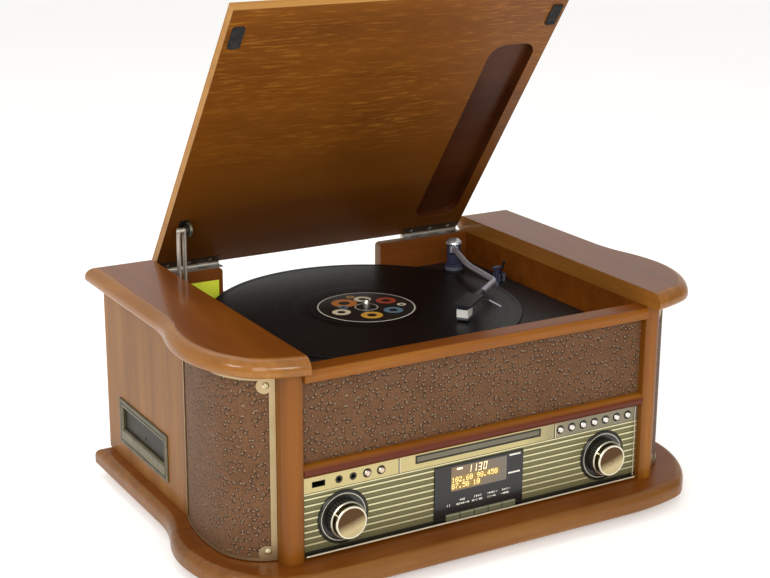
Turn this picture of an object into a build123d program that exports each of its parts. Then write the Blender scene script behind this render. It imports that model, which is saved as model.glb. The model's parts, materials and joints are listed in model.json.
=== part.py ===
"""Table-top stereo music centre: turntable under a hinged lid, CD drawer, cassette slot and tuner.

Millimetres, +Z up, +X to the unit's right seen from the front, front face towards -Y.
The origin is on the table under the middle of the unit with its lid standing open.
"""
import os
from math import acos, atan2, cos, degrees, hypot, pi, radians, sin

from build123d import *

os.makedirs("parts", exist_ok=True)

# ---------------------------------------------------------------- driving dimensions
face_y = -154.5          # front plane of the corner posts; depths below are measured behind it

# plinth and feet
foot_height = 10
foot_radius = 12
foot_inset = 34
plinth_thick = 18
plinth_step = 16         # past the side boards, at its straight sides
plinth_belly = 17        # how far the speaker bulge stands out past the straight sides
plinth_nose = 31         # how far the front edge stands out past the posts
plinth_flat = 145        # half the straight stretch of the front edge
plinth_corner_side = 47  # where the flank and front curves would meet, from the widest place
plinth_corner_back = 10.6
plinth_corner_round = 28
mould_lead = 5           # the mouldings are widest this much ahead of the speaker fronts
waist_depth = 165        # where the speaker bulge starts, on plinth and caps alike
plinth_round = 8
plinth_depth = 334       # back edge, behind the face plane

# cabinet
cabinet_height = 175     # plinth top to the underside of the caps
flank_width = 49         # from the walls of the well to the outside of the side boards
cabinet_depth = 332
board = 12               # side and back boards
well_half = 182          # inner walls of the turntable well
wall = 8
post_width = 19
post_depth = 20
cap_thick = 16
cap_overhang = 18        # past the straight sides
cap_belly = 12
cap_nose = 17            # past the posts
cap_corner_side = 34
cap_corner_back = 14.6
cap_corner_round = 40
cap_slope = 0.2          # of the front edge at the well
cap_round = 11
cap_round_low = 4.5
seat_gap = 0.3           # clearance of loose-fitted panels

# back board and its notch
back_face = 315          # front face of the back board
notch_left_side = 72     # from the walls of the well
notch_right_side = 108
notch_depth = 29         # below the caps' underside, like the other drops here

# curved speaker fronts
grille_back = 135
grille_belly = 8
belly_depth = 83
grille_front = 16
grille_thick = 3.5
tongue_front = 50        # the side boards run on behind the grilles, rebated to a tongue
tongue_thick = 7
trim_thick = 1.3
trim_side = 4
trim_edge = 3
trim_front = 5.5
trim_tab = 7             # radius of the corner lobes that take the screws
trim_head = 8.2          # height of the frame's top bar
lobe_inset = 2.4         # screws beyond the frame's front bar
lobe_low = 7             # screws above the frame's lower edge
lobe_high = 13           # and below its upper edge
woofer_radius = 37
woofer_cone = 31
woofer_at = 88
woofer_level = 118

# front
top_rail_height = 10.5
top_rail_nose = 3
rail_back = 17
cloth_recess = 8
cloth_thick = 4
fascia_recess = 7
fascia_thick = 3
fascia_low = 31
fascia_high = 103.6
cloth_low = 116
rib_height = 0.5
rib_width = 1.3
rib_pitch = 6.1
rib_count = 9
strip_low = 88.5         # upper strip with the sockets, drawer and buttons
strip_rise = 0.8
row_level = 95.7

# display and keys
display_left = -47.5
display_right = 48.5
display_high = 85
display_rise = 1.5
window_half = 30
window_low = 59
window_high = 82.5
window_thick = 1.2
key_count = 5
key_width = 14.4
key_pitch = 15.2
key_middle = 2
key_low = 31.8
key_high = 37.2
key_rise = 2

# round buttons, sockets and knobs
button_radius = 3.1
button_rise = 1.8
button_travel = 1.2
button_flange = 1.1
right_buttons = 7
right_button_side = 13.4  # last button to the wall of the well
right_button_pitch = 13.1
left_buttons = 2
left_button_side = 65.4
left_row_pitch = 14
jack_bore = 1.8
jack_radius = 3.6
jack_length = 12
usb_side = 11
usb_width = 13
usb_height = 5.6
knob_side = 41.7         # from the walls of the well
knob_level = 59.7
knob_ring = 24
knob_ring_thick = 1.2
knob_skirt = 17.3
knob_skirt_length = 8
knob_barrel = 14.6
knob_cap = 15.3
knob_cap_length = 6.3
knob_flutes = 36
knob_shaft = 3
knob_gap = 0.5

# CD drawer
drawer_half = 65.8
drawer_height = 4.6
drawer_level = 97.5
drawer_gap = 0.4
tray_depth = 142
tray_thick = 3.4
disc_radius = 60.5
deck_wall = 2

# cassette slot in the left side
cassette_rear = 19.5      # from the deck to the back board
bezel_width = 119
bezel_low = 45
bezel_high = 92
bezel_rise = 2
slot_width = 104
slot_low = 61
slot_high = 83.5
slot_bevel = 1.6
hub_height = 5
hub_reach = 28           # of the drive hubs, into the deck
hub_pitch = 42
flap_thick = 1.5
flap_pin = 1
flap_gap = 0.5
cassette_room = 13.5
cassette_reach = 66

# turntable
record_x = -23.5
record_y = 173
record_drop = 16
record_radius = 150.8
record_thick = 1.8
spindle_radius = 3.6
spindle_rise = 7.5
spindle_fit = 0.08
platter_radius = 142
platter_height = 11
platter_wall = 4
drive_rim = 70
deck_drop = 31
deck_thick = 6
motor_x = -100
motor_y = 95
motor_radius = 14
motor_height = 24
pulley_radius = 6
pulley_height = 6
motor_shaft = 1
belt_thick = 0.8
belt_height = 4

# tonearm
arm_side = 41            # pivot to the right wall of the well
arm_y = 275
arm_length = 207.5       # pivot to stylus
stylus_radius = 100      # where on the record the arm stands
arm_rise = 12            # over the record
arm_boss = 12
arm_boss_height = 5
arm_ring = 9.3
arm_ring_height = 6
tower_radius = 7.5
tower_rise = 6           # over the arm's axis
dome_radius = 8.6
dome_height = 6
arm_slot = 4.6           # half the gap between the tower's cheeks
arm_block = 4.3          # half the width of the block in that gap
arm_pin = 1.2
arm_shaft = 2.2
arm_pin_fit = 0.05
arm_tube = 2.9
bend_along = 62
bend_out = 11
elbow_along = 119
elbow_out = 34.5
collar_radius = 4.2
shell_width = 18
shell_thick = 1.8
shell_rise = 4.1
cartridge_width = 11.5
cartridge_length = 15
cartridge_clear = 1.4    # over the record
cartridge_mount = 3
stylus_gap = 0.3
rest_along = 70          # where the parked tube lies in its rest
parked_swing = 24
rest_post = 2.6
cue_side = 14
cue_y = 228
cue_block = 9
cue_height = 9
cue_pin_height = 5.5
cue_thick = 3
cue_length = 20

# lid
lid_open = 54.34         # degrees; the lid stands open at rest
hinge_depth = 330
hinge_rise = 1           # over the caps' underside
lid_gap = 0.4            # inner face above the hinge axis when shut
lid_thick = 12.4
lid_side_gap = 3.7       # to the walls of the well
lid_length = 343
lid_rear = 3             # rear edge in front of the hinge axis
lid_round = 3.5
pocket_depth = 7.8       # recess over the tonearm, also the thickness of the lining
pocket_side = 12.8       # from the lid's right edge
pocket_width = 52
pocket_near = 27
pocket_far = 278
pocket_corner = 16
pad_width = 12
pad_length = 25
pad_thick = 1.3
pad_side = 10.3
pad_far = 327
leaf_thick = 0.9
leaf_width = 12
knuckle_radius = 2.4
hinge_pin = 1.1
hinge_fit = 0.06
knuckle_count = 6
knuckle_gap = 0.3
hinge_length = 69
hinge_side = 1.3         # from the lid's side edges

# lid stay
stay_side = 20           # from the left wall of the well
stay_reach = 67.3        # pivot along the lid from the hinge
stay_drop = 6            # pivot below the hinge plane of the lid
stay_length = 95
stay_disc = 6.2
stay_thick = 1.6
stay_seat_width = 9
stay_seat_length = 15
stay_width = 6
stay_spread = 6          # between its two bars
stay_pin = 2
stay_fit = 0.06
stay_clear = 0.4
stay_notch = 24          # width of its opening in the turntable deck
guide_thick = 3.5
guide_margin = 3.1       # metal left round the slot

# inside
transformer_side = 54
boss_columns = (62, 108)
boss_rows = (42, 78)
main_board = (180, 120)
main_board_x = -20
main_board_y = 240
core_size = (56, 44, 46)
transformer_y = 228

# ---------------------------------------------------------------- derived levels and places
plinth_top = foot_height + plinth_thick
cap_under = plinth_top + cabinet_height
back_y = face_y + cabinet_depth
fascia_y = face_y + fascia_recess
cloth_y = face_y + cloth_recess
rail_low = cap_under - top_rail_height
notch_level = cap_under - notch_depth
deck_level = cap_under - deck_drop
record_level = cap_under - record_drop
arm_level = record_level + arm_rise
tower_top = arm_level + tower_rise
shell_top = arm_level + shell_rise
cartridge_low = record_level + cartridge_clear
hinge_level = cap_under + hinge_rise
spindle_y = face_y + record_y
pivot_y = face_y + arm_y
hinge_y = face_y + hinge_depth
cabinet_half = well_half + flank_width
plinth_half = cabinet_half + plinth_step
post_outer = well_half - 1 + post_width
notch_left = notch_left_side - well_half
notch_right = well_half - notch_right_side
knob_at = well_half - knob_side
usb_left = usb_side - well_half
arm_x = well_half - arm_side
cue_x = well_half - cue_side
lid_half = well_half - lid_side_gap
pad_at = lid_half - pad_side
pocket_right = lid_half - pocket_side
hinge_outer = lid_half - hinge_side
hinge_inner = hinge_outer - hinge_length
stay_x = stay_side - well_half
transformer_x = well_half - transformer_side


def save(piece, name):
    """Label a finished sub-part and write its STEP file."""
    piece.part.label = name
    export_step(piece.part, f"parts/{name}.step")


def draw_moulded_outline(side, belly, nose, back, inner, flat, corner, slope):
    """Draw the left half of a plinth or cap in plan, closed along x = -inner.

    Tangent arcs swell over the speaker front and meet the front edge at `corner`, which is
    rounded afterwards. `flat` is where the front edge starts, leaning by `slope`.
    """
    waist = face_y + waist_depth
    widest = face_y + belly_depth - mould_lead
    front = face_y - nose
    Polyline((-inner, front), (-inner, back), (-side, back), (-side, waist))
    swell = TangentArc((-side, waist), (-side - belly / 2, (waist + widest) / 2), tangent=(0, -1))
    TangentArc(swell @ 1, (-side - belly, widest), tangent=swell % 1)
    TangentArc((-side - belly, widest), corner, tangent=(0, -1))
    TangentArc((-flat, front), corner, tangent=(-1, slope))
    if flat > inner:
        Line((-flat, front), (-inner, front))


def draw_grille_outline():
    """Draw the left speaker front in plan, from the side board round to the corner post."""
    flank = ThreePointArc(
        (-cabinet_half, face_y + grille_back),
        (-cabinet_half - grille_belly, face_y + belly_depth),
        (-cabinet_half - grille_belly + 2, face_y + belly_depth - 28),
    )
    TangentArc(flank @ 1, (-post_outer, face_y + grille_front), tangent=flank % 1)


# ---------------------------------------------------------------- plinth, feet and boards
plinth_corner = (plinth_corner_side - plinth_half - plinth_belly,
                 face_y - plinth_nose + plinth_corner_back)
with BuildPart() as plinth:
    with BuildSketch(Plane.XY.offset(foot_height)) as plinth_plan:
        with BuildLine():
            draw_moulded_outline(
                plinth_half, plinth_belly, plinth_nose, face_y + plinth_depth, 0,
                plinth_flat, plinth_corner, 0)
        make_face()
        fillet(plinth_plan.vertices().sort_by_distance(plinth_corner)[0], plinth_corner_round)
        mirror(about=Plane.YZ)
    extrude(amount=plinth_thick)
    fillet(plinth.faces().sort_by(Axis.Z)[-1].edges(), plinth_round)
    chamfer(plinth.faces().sort_by(Axis.Z)[0].edges(), plinth_round / 3)
save(plinth, "plinth")

foot_x = plinth_half - foot_inset
foot_front = face_y + foot_inset
foot_back = face_y + plinth_depth - foot_inset
with BuildPart() as feet:
    for x in (-foot_x, foot_x):
        for y in (foot_front, foot_back):
            with BuildSketch(Plane((x, y, 0))):
                Circle(foot_radius)
            extrude(amount=foot_height)
save(feet, "feet")

side_front = face_y + grille_back
tongue_y = face_y + tongue_front
woofer_y = face_y + woofer_at
cassette_level = (bezel_low + bezel_high) / 2
bezel_body_width = slot_width + 6
cassette_y = face_y + back_face - cassette_rear - deck_wall - bezel_body_width / 2
bezel_body_height = slot_high - slot_low + 8
slot_level = (slot_low + slot_high) / 2
with BuildPart() as side_panels:
    with BuildSketch(Plane.XY.offset(plinth_top)):
        with BuildLine():
            Polyline(
                (-cabinet_half, back_y),
                (-cabinet_half, side_front),
                (-cabinet_half + board - tongue_thick, side_front),
                (-cabinet_half + board - tongue_thick, tongue_y),
                (-cabinet_half + board, tongue_y),
                (-cabinet_half + board, back_y),
                close=True,
            )
        make_face()
    extrude(amount=cabinet_height)
    with Locations(Plane.YZ.location * Location((woofer_y, woofer_level, -cabinet_half))):
        Cylinder(woofer_cone, 3 * board, mode=Mode.SUBTRACT)
    mirror(about=Plane.YZ)
    with Locations((-cabinet_half, cassette_y, slot_level)):
        Box(3 * board, bezel_body_width + 2 * seat_gap, bezel_body_height + 2 * seat_gap,
            mode=Mode.SUBTRACT)
save(side_panels, "side_panels")

cassette_deck_half = bezel_body_width / 2 + deck_wall
cassette_deck_low = slot_low - 14
cassette_deck_high = slot_high + 10
ledge = 8
wall_y = face_y + (post_depth + back_face) / 2
with BuildPart() as inner_walls:
    with Locations((-well_half - wall / 2, wall_y, plinth_top)):
        Box(wall, back_face - post_depth, cabinet_height,
            align=(Align.CENTER, Align.CENTER, Align.MIN))
    with Locations((-well_half + ledge / 2, wall_y, deck_level - deck_thick)):
        Box(ledge, 60, ledge, align=(Align.CENTER, Align.CENTER, Align.MAX))
    mirror(about=Plane.YZ)
    with Locations((-well_half - wall / 2, cassette_y,
                    (cassette_deck_low + cassette_deck_high) / 2)):
        Box(2 * wall, 2 * cassette_deck_half + 2 * seat_gap,
            cassette_deck_high - cassette_deck_low + 2 * seat_gap, mode=Mode.SUBTRACT)
save(inner_walls, "inner_walls")

with BuildPart() as posts:
    with BuildSketch(Plane.XY.offset(plinth_top)):
        with Locations((-(well_half - 1 + post_outer) / 2, face_y + post_depth / 2)):
            Rectangle(post_outer - well_half + 1, post_depth)
    extrude(amount=cabinet_height)
    fillet(posts.edges().filter_by(Axis.Z).group_by(Axis.Y)[0].sort_by(Axis.X)[0], 8)
    fillet(posts.edges().filter_by(Axis.Z).group_by(Axis.Y)[0].sort_by(Axis.X)[-1], 2)
    mirror(about=Plane.YZ)
save(posts, "posts")

# ---------------------------------------------------------------- back board, caps and rails
back_panel_half = cabinet_half - board
back_board_y = face_y + back_face
notch_width = notch_right - notch_left
vent_count = 9
vent_pitch = 7
vent_x = -70
terminal_x = 110
terminal_level = 62
terminal_width = 84
terminal_height = 36
with BuildPart() as back_panel:
    with BuildSketch(Plane.XZ.offset(-back_board_y)) as back_outline:
        with Locations((0, plinth_top)):
            Rectangle(2 * back_panel_half, cabinet_height, align=(Align.CENTER, Align.MIN))
        with Locations(((notch_left + notch_right) / 2, cap_under)):
            Rectangle(notch_width, cap_under - notch_level, align=(Align.CENTER, Align.MAX),
                      mode=Mode.SUBTRACT)
        fillet(back_outline.vertices().group_by(Axis.Y)[-1].sort_by(Axis.X)[1:3], 4)
        with GridLocations(0, vent_pitch, 1, vent_count):
            with Locations((vent_x, (plinth_top + notch_level) / 2)):
                SlotOverall(60, 3, mode=Mode.SUBTRACT)
        with Locations((terminal_x, terminal_level)):
            Rectangle(terminal_width - 8, terminal_height - 8, mode=Mode.SUBTRACT)
    extrude(amount=-board)
save(back_panel, "back_panel")

cap_side = cabinet_half + cap_overhang
cap_corner = (cap_corner_side - cap_side - cap_belly, face_y - cap_nose + cap_corner_back)
with BuildPart() as caps:
    with BuildSketch(Plane.XY.offset(cap_under)) as cap_plan:
        with BuildLine():
            draw_moulded_outline(
                cap_side, cap_belly, cap_nose, back_y + 1, well_half, well_half, cap_corner,
                cap_slope)
        make_face()
        fillet(cap_plan.vertices().sort_by_distance(cap_corner)[0], cap_corner_round)
    extrude(amount=cap_thick)
    outer_top = caps.faces().sort_by(Axis.Z)[-1].edges().sort_by(Axis.X)[:-1]
    fillet(outer_top, cap_round)
    outer_low = caps.faces().sort_by(Axis.Z)[0].edges().sort_by(Axis.X)[:-1]
    fillet(outer_low, cap_round_low)
    mirror(about=Plane.YZ)
save(caps, "caps")

rail_half = well_half - 1
bead_depth = 6
with BuildPart() as front_rails:
    with BuildSketch(Plane.YZ.offset(-rail_half)) as rail_profile:
        with Locations((face_y + (rail_back - top_rail_nose) / 2, rail_low)):
            Rectangle(rail_back + top_rail_nose, top_rail_height - 0.5,
                      align=(Align.CENTER, Align.MIN))
        fillet(rail_profile.vertices().group_by(Axis.X)[0].sort_by(Axis.Y)[-1], 4)
        with Locations((face_y + bead_depth, (fascia_high + cloth_low) / 2)):
            Rectangle(bead_depth, cloth_low - fascia_high, align=(Align.MIN, Align.CENTER))
            Circle((cloth_low - fascia_high) / 2)
        with Locations((face_y + fascia_recess - 1, plinth_top)):
            Rectangle(10, fascia_low - plinth_top, align=(Align.MIN, Align.MIN))
    extrude(amount=2 * rail_half)
save(front_rails, "front_rails")

with BuildPart() as front_cloth:
    with BuildSketch(Plane.XZ.offset(-cloth_y)):
        with Locations((0, cloth_low)):
            Rectangle(2 * rail_half, rail_low - cloth_low, align=(Align.CENTER, Align.MIN))
    extrude(amount=-cloth_thick)
save(front_cloth, "front_cloth")

# ---------------------------------------------------------------- curved speaker fronts
grille_low = plinth_top + 1
grille_high = cap_under - 1
with BuildPart() as grilles:
    with BuildSketch(Plane.XY.offset(grille_low)):
        with BuildLine():
            draw_grille_outline()
            offset(amount=grille_thick, side=Side.LEFT)
        make_face()
    extrude(amount=grille_high - grille_low)
    split(bisect_by=Plane.YZ.offset(-post_outer), keep=Keep.BOTTOM)
    mirror(about=Plane.YZ)
save(grilles, "grilles")

lobe_from_post = trim_front + lobe_inset
lobe_direction = Plane(
    origin=(-post_outer - lobe_from_post, face_y + grille_front + lobe_from_post / 2, grille_low),
    x_dir=(0.9, -0.43, 0), z_dir=(-0.43, -0.9, 0))
lobe_levels = (lobe_low, grille_high - grille_low - lobe_high)
with BuildPart() as trim_window:
    with Locations((-post_outer - trim_front, side_front - trim_side,
                    grille_low + trim_edge)):
        Box(60, belly_depth + grille_back, grille_high - grille_low - trim_edge - trim_head,
            align=(Align.MAX, Align.MAX, Align.MIN))
    with Locations(*[lobe_direction * Location((0, z)) for z in lobe_levels]):
        Cylinder(trim_tab, 40, mode=Mode.SUBTRACT)
with BuildPart() as grille_trims:
    with BuildSketch(Plane.XY.offset(grille_low)):
        with BuildLine():
            draw_grille_outline()
            offset(amount=trim_thick, side=Side.RIGHT)
        make_face()
    extrude(amount=grille_high - grille_low)
    split(bisect_by=Plane.YZ.offset(-post_outer), keep=Keep.BOTTOM)
    add(trim_window.part, mode=Mode.SUBTRACT)
    mirror(about=Plane.YZ)
save(grille_trims, "grille_trims")

woofer_seat = cabinet_half - board + tongue_thick
with BuildPart() as woofers:
    with BuildSketch(Plane.XY):
        with BuildLine():
            Polyline(
                (0, -8),
                (12, -8),
                (woofer_cone - 5, 1),
                (woofer_cone - 2, 2.2),
                (woofer_cone + 0.5, 1.6),
                (woofer_radius, 1.6),
                (woofer_radius, 0),
                (woofer_cone - 1, 0),
                (16, -16),
                (16, -20),
                (24, -20),
                (24, -30),
                (0, -30),
                close=True,
            )
        make_face()
    revolve(axis=Axis.Y)
woofer_place = Plane(origin=(-woofer_seat, woofer_y, woofer_level), x_dir=(0, 1, 0),
                     z_dir=(0, 0, 1))
with BuildPart() as woofer_pair:
    add(woofers.part.moved(woofer_place.location))
    mirror(about=Plane.YZ)
save(woofer_pair, "woofers")

# ---------------------------------------------------------------- fascia and display
fascia_half = rail_half
display_middle = (display_left + display_right) / 2
display_width = display_right - display_left
keys_half = (key_count - 1) / 2 * key_pitch + key_width / 2 + seat_gap
left_button_first = left_button_side - well_half
right_button_last = well_half - right_button_side
left_row = [left_button_first + i * left_row_pitch for i in range(left_buttons)]
right_row = [right_button_last - i * right_button_pitch for i in reversed(range(right_buttons))]
jack_row = [left_button_first - 2 * left_row_pitch, left_button_first - left_row_pitch]
button_hole = button_radius + seat_gap
board_y = fascia_y + 16
knob_places = [(-knob_at, knob_level), (knob_at, knob_level)]
boss_places = [(side * x, z) for side in (-1, 1) for x in boss_columns for z in boss_rows]
first_rib = fascia_low + 3
with BuildPart() as fascia:
    with BuildSketch(Plane.XZ.offset(-fascia_y)):
        with Locations((0, fascia_low)):
            Rectangle(2 * fascia_half, fascia_high - fascia_low,
                      align=(Align.CENTER, Align.MIN))
    extrude(amount=-fascia_thick)
    with BuildSketch(Plane.XZ.offset(-fascia_y)):
        with Locations((0, strip_low)):
            Rectangle(2 * fascia_half, fascia_high - strip_low, align=(Align.CENTER, Align.MIN))
    extrude(amount=strip_rise)
    with BuildSketch(Plane.XZ.offset(-fascia_y)):
        for i in range(rib_count):
            with Locations((0, first_rib + i * rib_pitch)):
                Rectangle(2 * fascia_half - 6, rib_width)
        with Locations(*knob_places):
            Circle(knob_ring + seat_gap, mode=Mode.SUBTRACT)
        with Locations((display_middle, fascia_low)):
            Rectangle(display_width + 2 * seat_gap, display_high - fascia_low + seat_gap,
                      align=(Align.CENTER, Align.MIN), mode=Mode.SUBTRACT)
    extrude(amount=rib_height)
    with BuildSketch(Plane.XZ.offset(-board_y)):
        with Locations(*boss_places):
            Circle(3)
    extrude(amount=board_y - fascia_y - fascia_thick)
    with BuildSketch(Plane.XZ.offset(-fascia_y + 5)):
        with Locations(*[(x, row_level) for x in left_row + right_row]):
            Circle(button_hole)
        with Locations(*[(x, row_level) for x in jack_row]):
            Circle(jack_radius)
        with Locations(*knob_places):
            Circle(knob_shaft + knob_gap)
        with Locations((usb_left + usb_width / 2, row_level)):
            Rectangle(usb_width, usb_height)
        with Locations((0, drawer_level)):
            Rectangle(2 * (drawer_half + drawer_gap), drawer_height + 2 * drawer_gap)
        with Locations((key_middle, (key_low + key_high) / 2)):
            Rectangle(2 * keys_half, key_high - key_low + 2 * seat_gap)
    extrude(amount=-fascia_thick - 5, mode=Mode.SUBTRACT)
save(fascia, "fascia")

with BuildPart() as display_block:
    with BuildSketch(Plane.XZ.offset(-fascia_y)):
        with Locations((display_middle, fascia_low)):
            Rectangle(display_width, display_high - fascia_low, align=(Align.CENTER, Align.MIN))
        with Locations((key_middle, (key_low + key_high) / 2)):
            Rectangle(2 * keys_half, key_high - key_low + 2 * seat_gap, mode=Mode.SUBTRACT)
    extrude(amount=display_rise)
    fillet(display_block.faces().sort_by(Axis.Y)[0].outer_wire().edges(), 0.4)
    with BuildSketch(Plane.XZ.offset(-fascia_y + display_rise)):
        with Locations((0, window_low)):
            Rectangle(2 * window_half, window_high - window_low, align=(Align.CENTER, Align.MIN))
    extrude(amount=-window_thick, mode=Mode.SUBTRACT)
save(display_block, "display_block")

with BuildPart() as display_window:
    with BuildSketch(Plane.XZ.offset(-fascia_y + display_rise)):
        with Locations((0, (window_low + window_high) / 2)):
            Rectangle(2 * window_half, window_high - window_low)
    extrude(amount=-window_thick)
save(display_window, "display_window")

# keys and round buttons, each with a lip behind the panel that keeps it in
key_front = fascia_y - display_rise - key_rise
lip_y = fascia_y + fascia_thick + seat_gap
for i in range(key_count):
    key_x = key_middle + (i - (key_count - 1) / 2) * key_pitch
    with BuildPart() as key:
        with BuildSketch(Plane.XZ.offset(-lip_y)):
            with Locations((key_x, (key_low + key_high) / 2)):
                Rectangle(key_width, key_high - key_low)
        extrude(amount=lip_y - key_front)
        fillet(key.faces().sort_by(Axis.Y)[0].edges(), 0.5)
        with BuildSketch(Plane.XZ.offset(-lip_y)):
            with Locations((key_x, key_high - 0.5)):
                Rectangle(key_width, 3)
        extrude(amount=-button_flange)
    save(key, f"key_{i + 1}")

for side, row in (("left", left_row), ("right", right_row)):
    for i, button_x in enumerate(row):
        with BuildPart() as button:
            with BuildSketch(Plane.XZ.offset(-lip_y)):
                with Locations((button_x, row_level)):
                    Circle(button_radius)
            extrude(amount=lip_y - fascia_y + strip_rise + button_rise)
            chamfer(button.faces().sort_by(Axis.Y)[0].edges(), 0.9)
            with BuildSketch(Plane.XZ.offset(-lip_y)):
                with Locations((button_x, row_level)):
                    Circle(button_radius + 1)
            extrude(amount=-button_flange)
        save(button, f"button_{side}_{i + 1}")

# ---------------------------------------------------------------- knobs and sockets
with BuildPart() as knob_rings:
    with BuildSketch(Plane.XZ.offset(-fascia_y)):
        with Locations(*knob_places):
            Circle(knob_ring)
            Circle(knob_shaft + knob_gap, mode=Mode.SUBTRACT)
    extrude(amount=knob_ring_thick)
    chamfer(knob_rings.faces().group_by(Axis.Y)[0].edges().filter_by(
        lambda edge: edge.radius > knob_skirt), 0.6)
save(knob_rings, "knob_rings")

skirt_y = fascia_y - knob_ring_thick - knob_gap
knob_dome = 1.2
knob_bevel = 0.5
for name, (knob_x, knob_z) in zip(("volume_knob", "tuning_knob"), knob_places):
    with BuildPart() as knob:
        with BuildSketch(Plane.XY):
            with BuildLine():
                shaft_end = board_y - skirt_y - 2 * seat_gap
                skirt_end = -knob_skirt_length
                cap_end = skirt_end - knob_cap_length
                Polyline(
                    (0, shaft_end),
                    (knob_shaft, shaft_end),
                    (knob_shaft, 0),
                    (knob_skirt, 0),
                    (knob_skirt, skirt_end),
                    (knob_skirt - 1, skirt_end - 0.8),
                    (knob_barrel, skirt_end - 0.8),
                    (knob_barrel, cap_end + 1.4),
                    (knob_cap, cap_end + 1),
                    (knob_cap, cap_end + knob_bevel),
                    (knob_cap - knob_bevel, cap_end),
                    (0, cap_end - knob_dome),
                    close=True,
                )
            make_face()
        revolve(axis=Axis.Y)
        with BuildSketch(Plane.XZ):
            with PolarLocations(knob_skirt, knob_flutes):
                Rectangle(1.1, 1.2)
        extrude(amount=knob_skirt_length - 1.2, mode=Mode.SUBTRACT)
    knob_place = Location((knob_x, skirt_y, knob_z))
    with BuildPart() as placed_knob:
        add(knob.part.moved(knob_place))
    save(placed_knob, name)

with BuildPart() as front_sockets:
    with BuildSketch(Plane.XZ.offset(-fascia_y + strip_rise)):
        with Locations(*[(x, row_level) for x in jack_row]):
            Circle(jack_radius)
            Circle(jack_bore, mode=Mode.SUBTRACT)
        with Locations((usb_left + usb_width / 2, row_level)):
            Rectangle(usb_width, usb_height)
            Rectangle(usb_width - 0.8, usb_height - 0.8, mode=Mode.SUBTRACT)
    extrude(amount=-jack_length - strip_rise)
    with BuildSketch(Plane.XZ.offset(-fascia_y - jack_length)):
        with Locations((usb_left + usb_width / 2, row_level)):
            Rectangle(usb_width, usb_height)
    extrude(amount=-1)
    with BuildSketch(Plane.XZ.offset(-fascia_y - jack_length)):
        with Locations((usb_left + usb_width / 2, row_level + 1.1)):
            Rectangle(usb_width - 3, 1.4)
    extrude(amount=jack_length - 3)
save(front_sockets, "front_sockets")

# ---------------------------------------------------------------- CD drawer and its deck
drawer_y = fascia_y - strip_rise
tray_half = drawer_half - 2
tray_y = drawer_y + 2
tray_middle = tray_y + 6 + disc_radius
with BuildPart() as cd_drawer:
    with Locations((0, drawer_y, drawer_level)):
        Box(2 * drawer_half, 2, drawer_height, align=(Align.CENTER, Align.MIN, Align.CENTER))
    with Locations((0, tray_y, drawer_level)):
        Box(2 * tray_half, tray_depth, tray_thick, align=(Align.CENTER, Align.MIN, Align.CENTER))
    with BuildSketch(Plane.XY.offset(drawer_level + tray_thick / 2)):
        with Locations((0, tray_middle)):
            Circle(disc_radius)
    extrude(amount=-1.4, mode=Mode.SUBTRACT)
    with BuildSketch(Plane.XY.offset(drawer_level + tray_thick)):
        with Locations((0, tray_middle)):
            Circle(18)
        with Locations((0, tray_middle + 35)):
            Rectangle(28, 46)
    extrude(amount=-2 * tray_thick, mode=Mode.SUBTRACT)
save(cd_drawer, "cd_drawer")

cd_low = drawer_level - 13
cd_high = drawer_level + 5.5
channel_half = tray_half + drawer_gap
cd_y = fascia_y + fascia_thick + 0.3
cd_depth = tray_depth + 12
with BuildPart() as cd_mechanism:
    with Locations((0, cd_y, (cd_low + cd_high) / 2)):
        Box(2 * (channel_half + deck_wall), cd_depth, cd_high - cd_low,
            align=(Align.CENTER, Align.MIN, Align.CENTER))
    with Locations((0, cd_y, drawer_level)):
        Box(2 * channel_half, cd_depth - deck_wall, tray_thick + 4 * drawer_gap,
            align=(Align.CENTER, Align.MIN, Align.CENTER), mode=Mode.SUBTRACT)
    with Locations((0, cd_y + cd_depth / 2, cd_low)):
        Box(2 * channel_half - 20, cd_depth - 24, 7, align=(Align.CENTER, Align.CENTER, Align.MIN),
            mode=Mode.SUBTRACT)
    for x in (-channel_half - 6, channel_half + 6):
        with Locations((x, cd_y + cd_depth / 2, plinth_top)):
            Box(10, 20, cd_low - plinth_top + deck_wall,
                align=(Align.CENTER, Align.CENTER, Align.MIN))
save(cd_mechanism, "cd_mechanism")

# ---------------------------------------------------------------- cassette slot in the left side
bezel_x = -cabinet_half
slot_plane = Plane(origin=(bezel_x, cassette_y, 0), x_dir=(0, 1, 0), z_dir=(1, 0, 0))
flap_x = bezel_x + 2.2
flap_pin_x = flap_x + flap_thick / 2
flap_knuckle = flap_pin + 0.75
flap_pin_z = slot_high - flap_knuckle - flap_gap
with BuildPart() as cassette_bezel:
    with BuildSketch(slot_plane):
        with Locations((0, cassette_level)):
            RectangleRounded(bezel_width, bezel_high - bezel_low, 1.5)
        with Locations((0, slot_level)):
            Rectangle(slot_width, slot_high - slot_low, mode=Mode.SUBTRACT)
    extrude(amount=-bezel_rise)
    chamfer(cassette_bezel.faces().sort_by(Axis.X)[0].outer_wire().edges(), 0.8)
    with BuildSketch(slot_plane.offset(-bezel_rise)):
        with Locations((0, cassette_level)):
            Rectangle(bezel_width - 8, bezel_high - bezel_low - 8)
            Rectangle(bezel_width - 10, bezel_high - bezel_low - 10, mode=Mode.SUBTRACT)
    extrude(amount=0.9, mode=Mode.SUBTRACT)
    with BuildSketch(slot_plane):
        with Locations((0, slot_level)):
            Rectangle(bezel_body_width, bezel_body_height)
            Rectangle(slot_width, slot_high - slot_low, mode=Mode.SUBTRACT)
    extrude(amount=board - 1)
    for end in (-1, 1):
        with Locations((flap_pin_x, cassette_y + end * slot_width / 2, flap_pin_z)):
            Cylinder(flap_pin, 2, rotation=(90, 0, 0))
    chamfer(cassette_bezel.faces().sort_by(Axis.X)[0].inner_wires()[0].edges(), slot_bevel)
save(cassette_bezel, "cassette_bezel")

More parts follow.
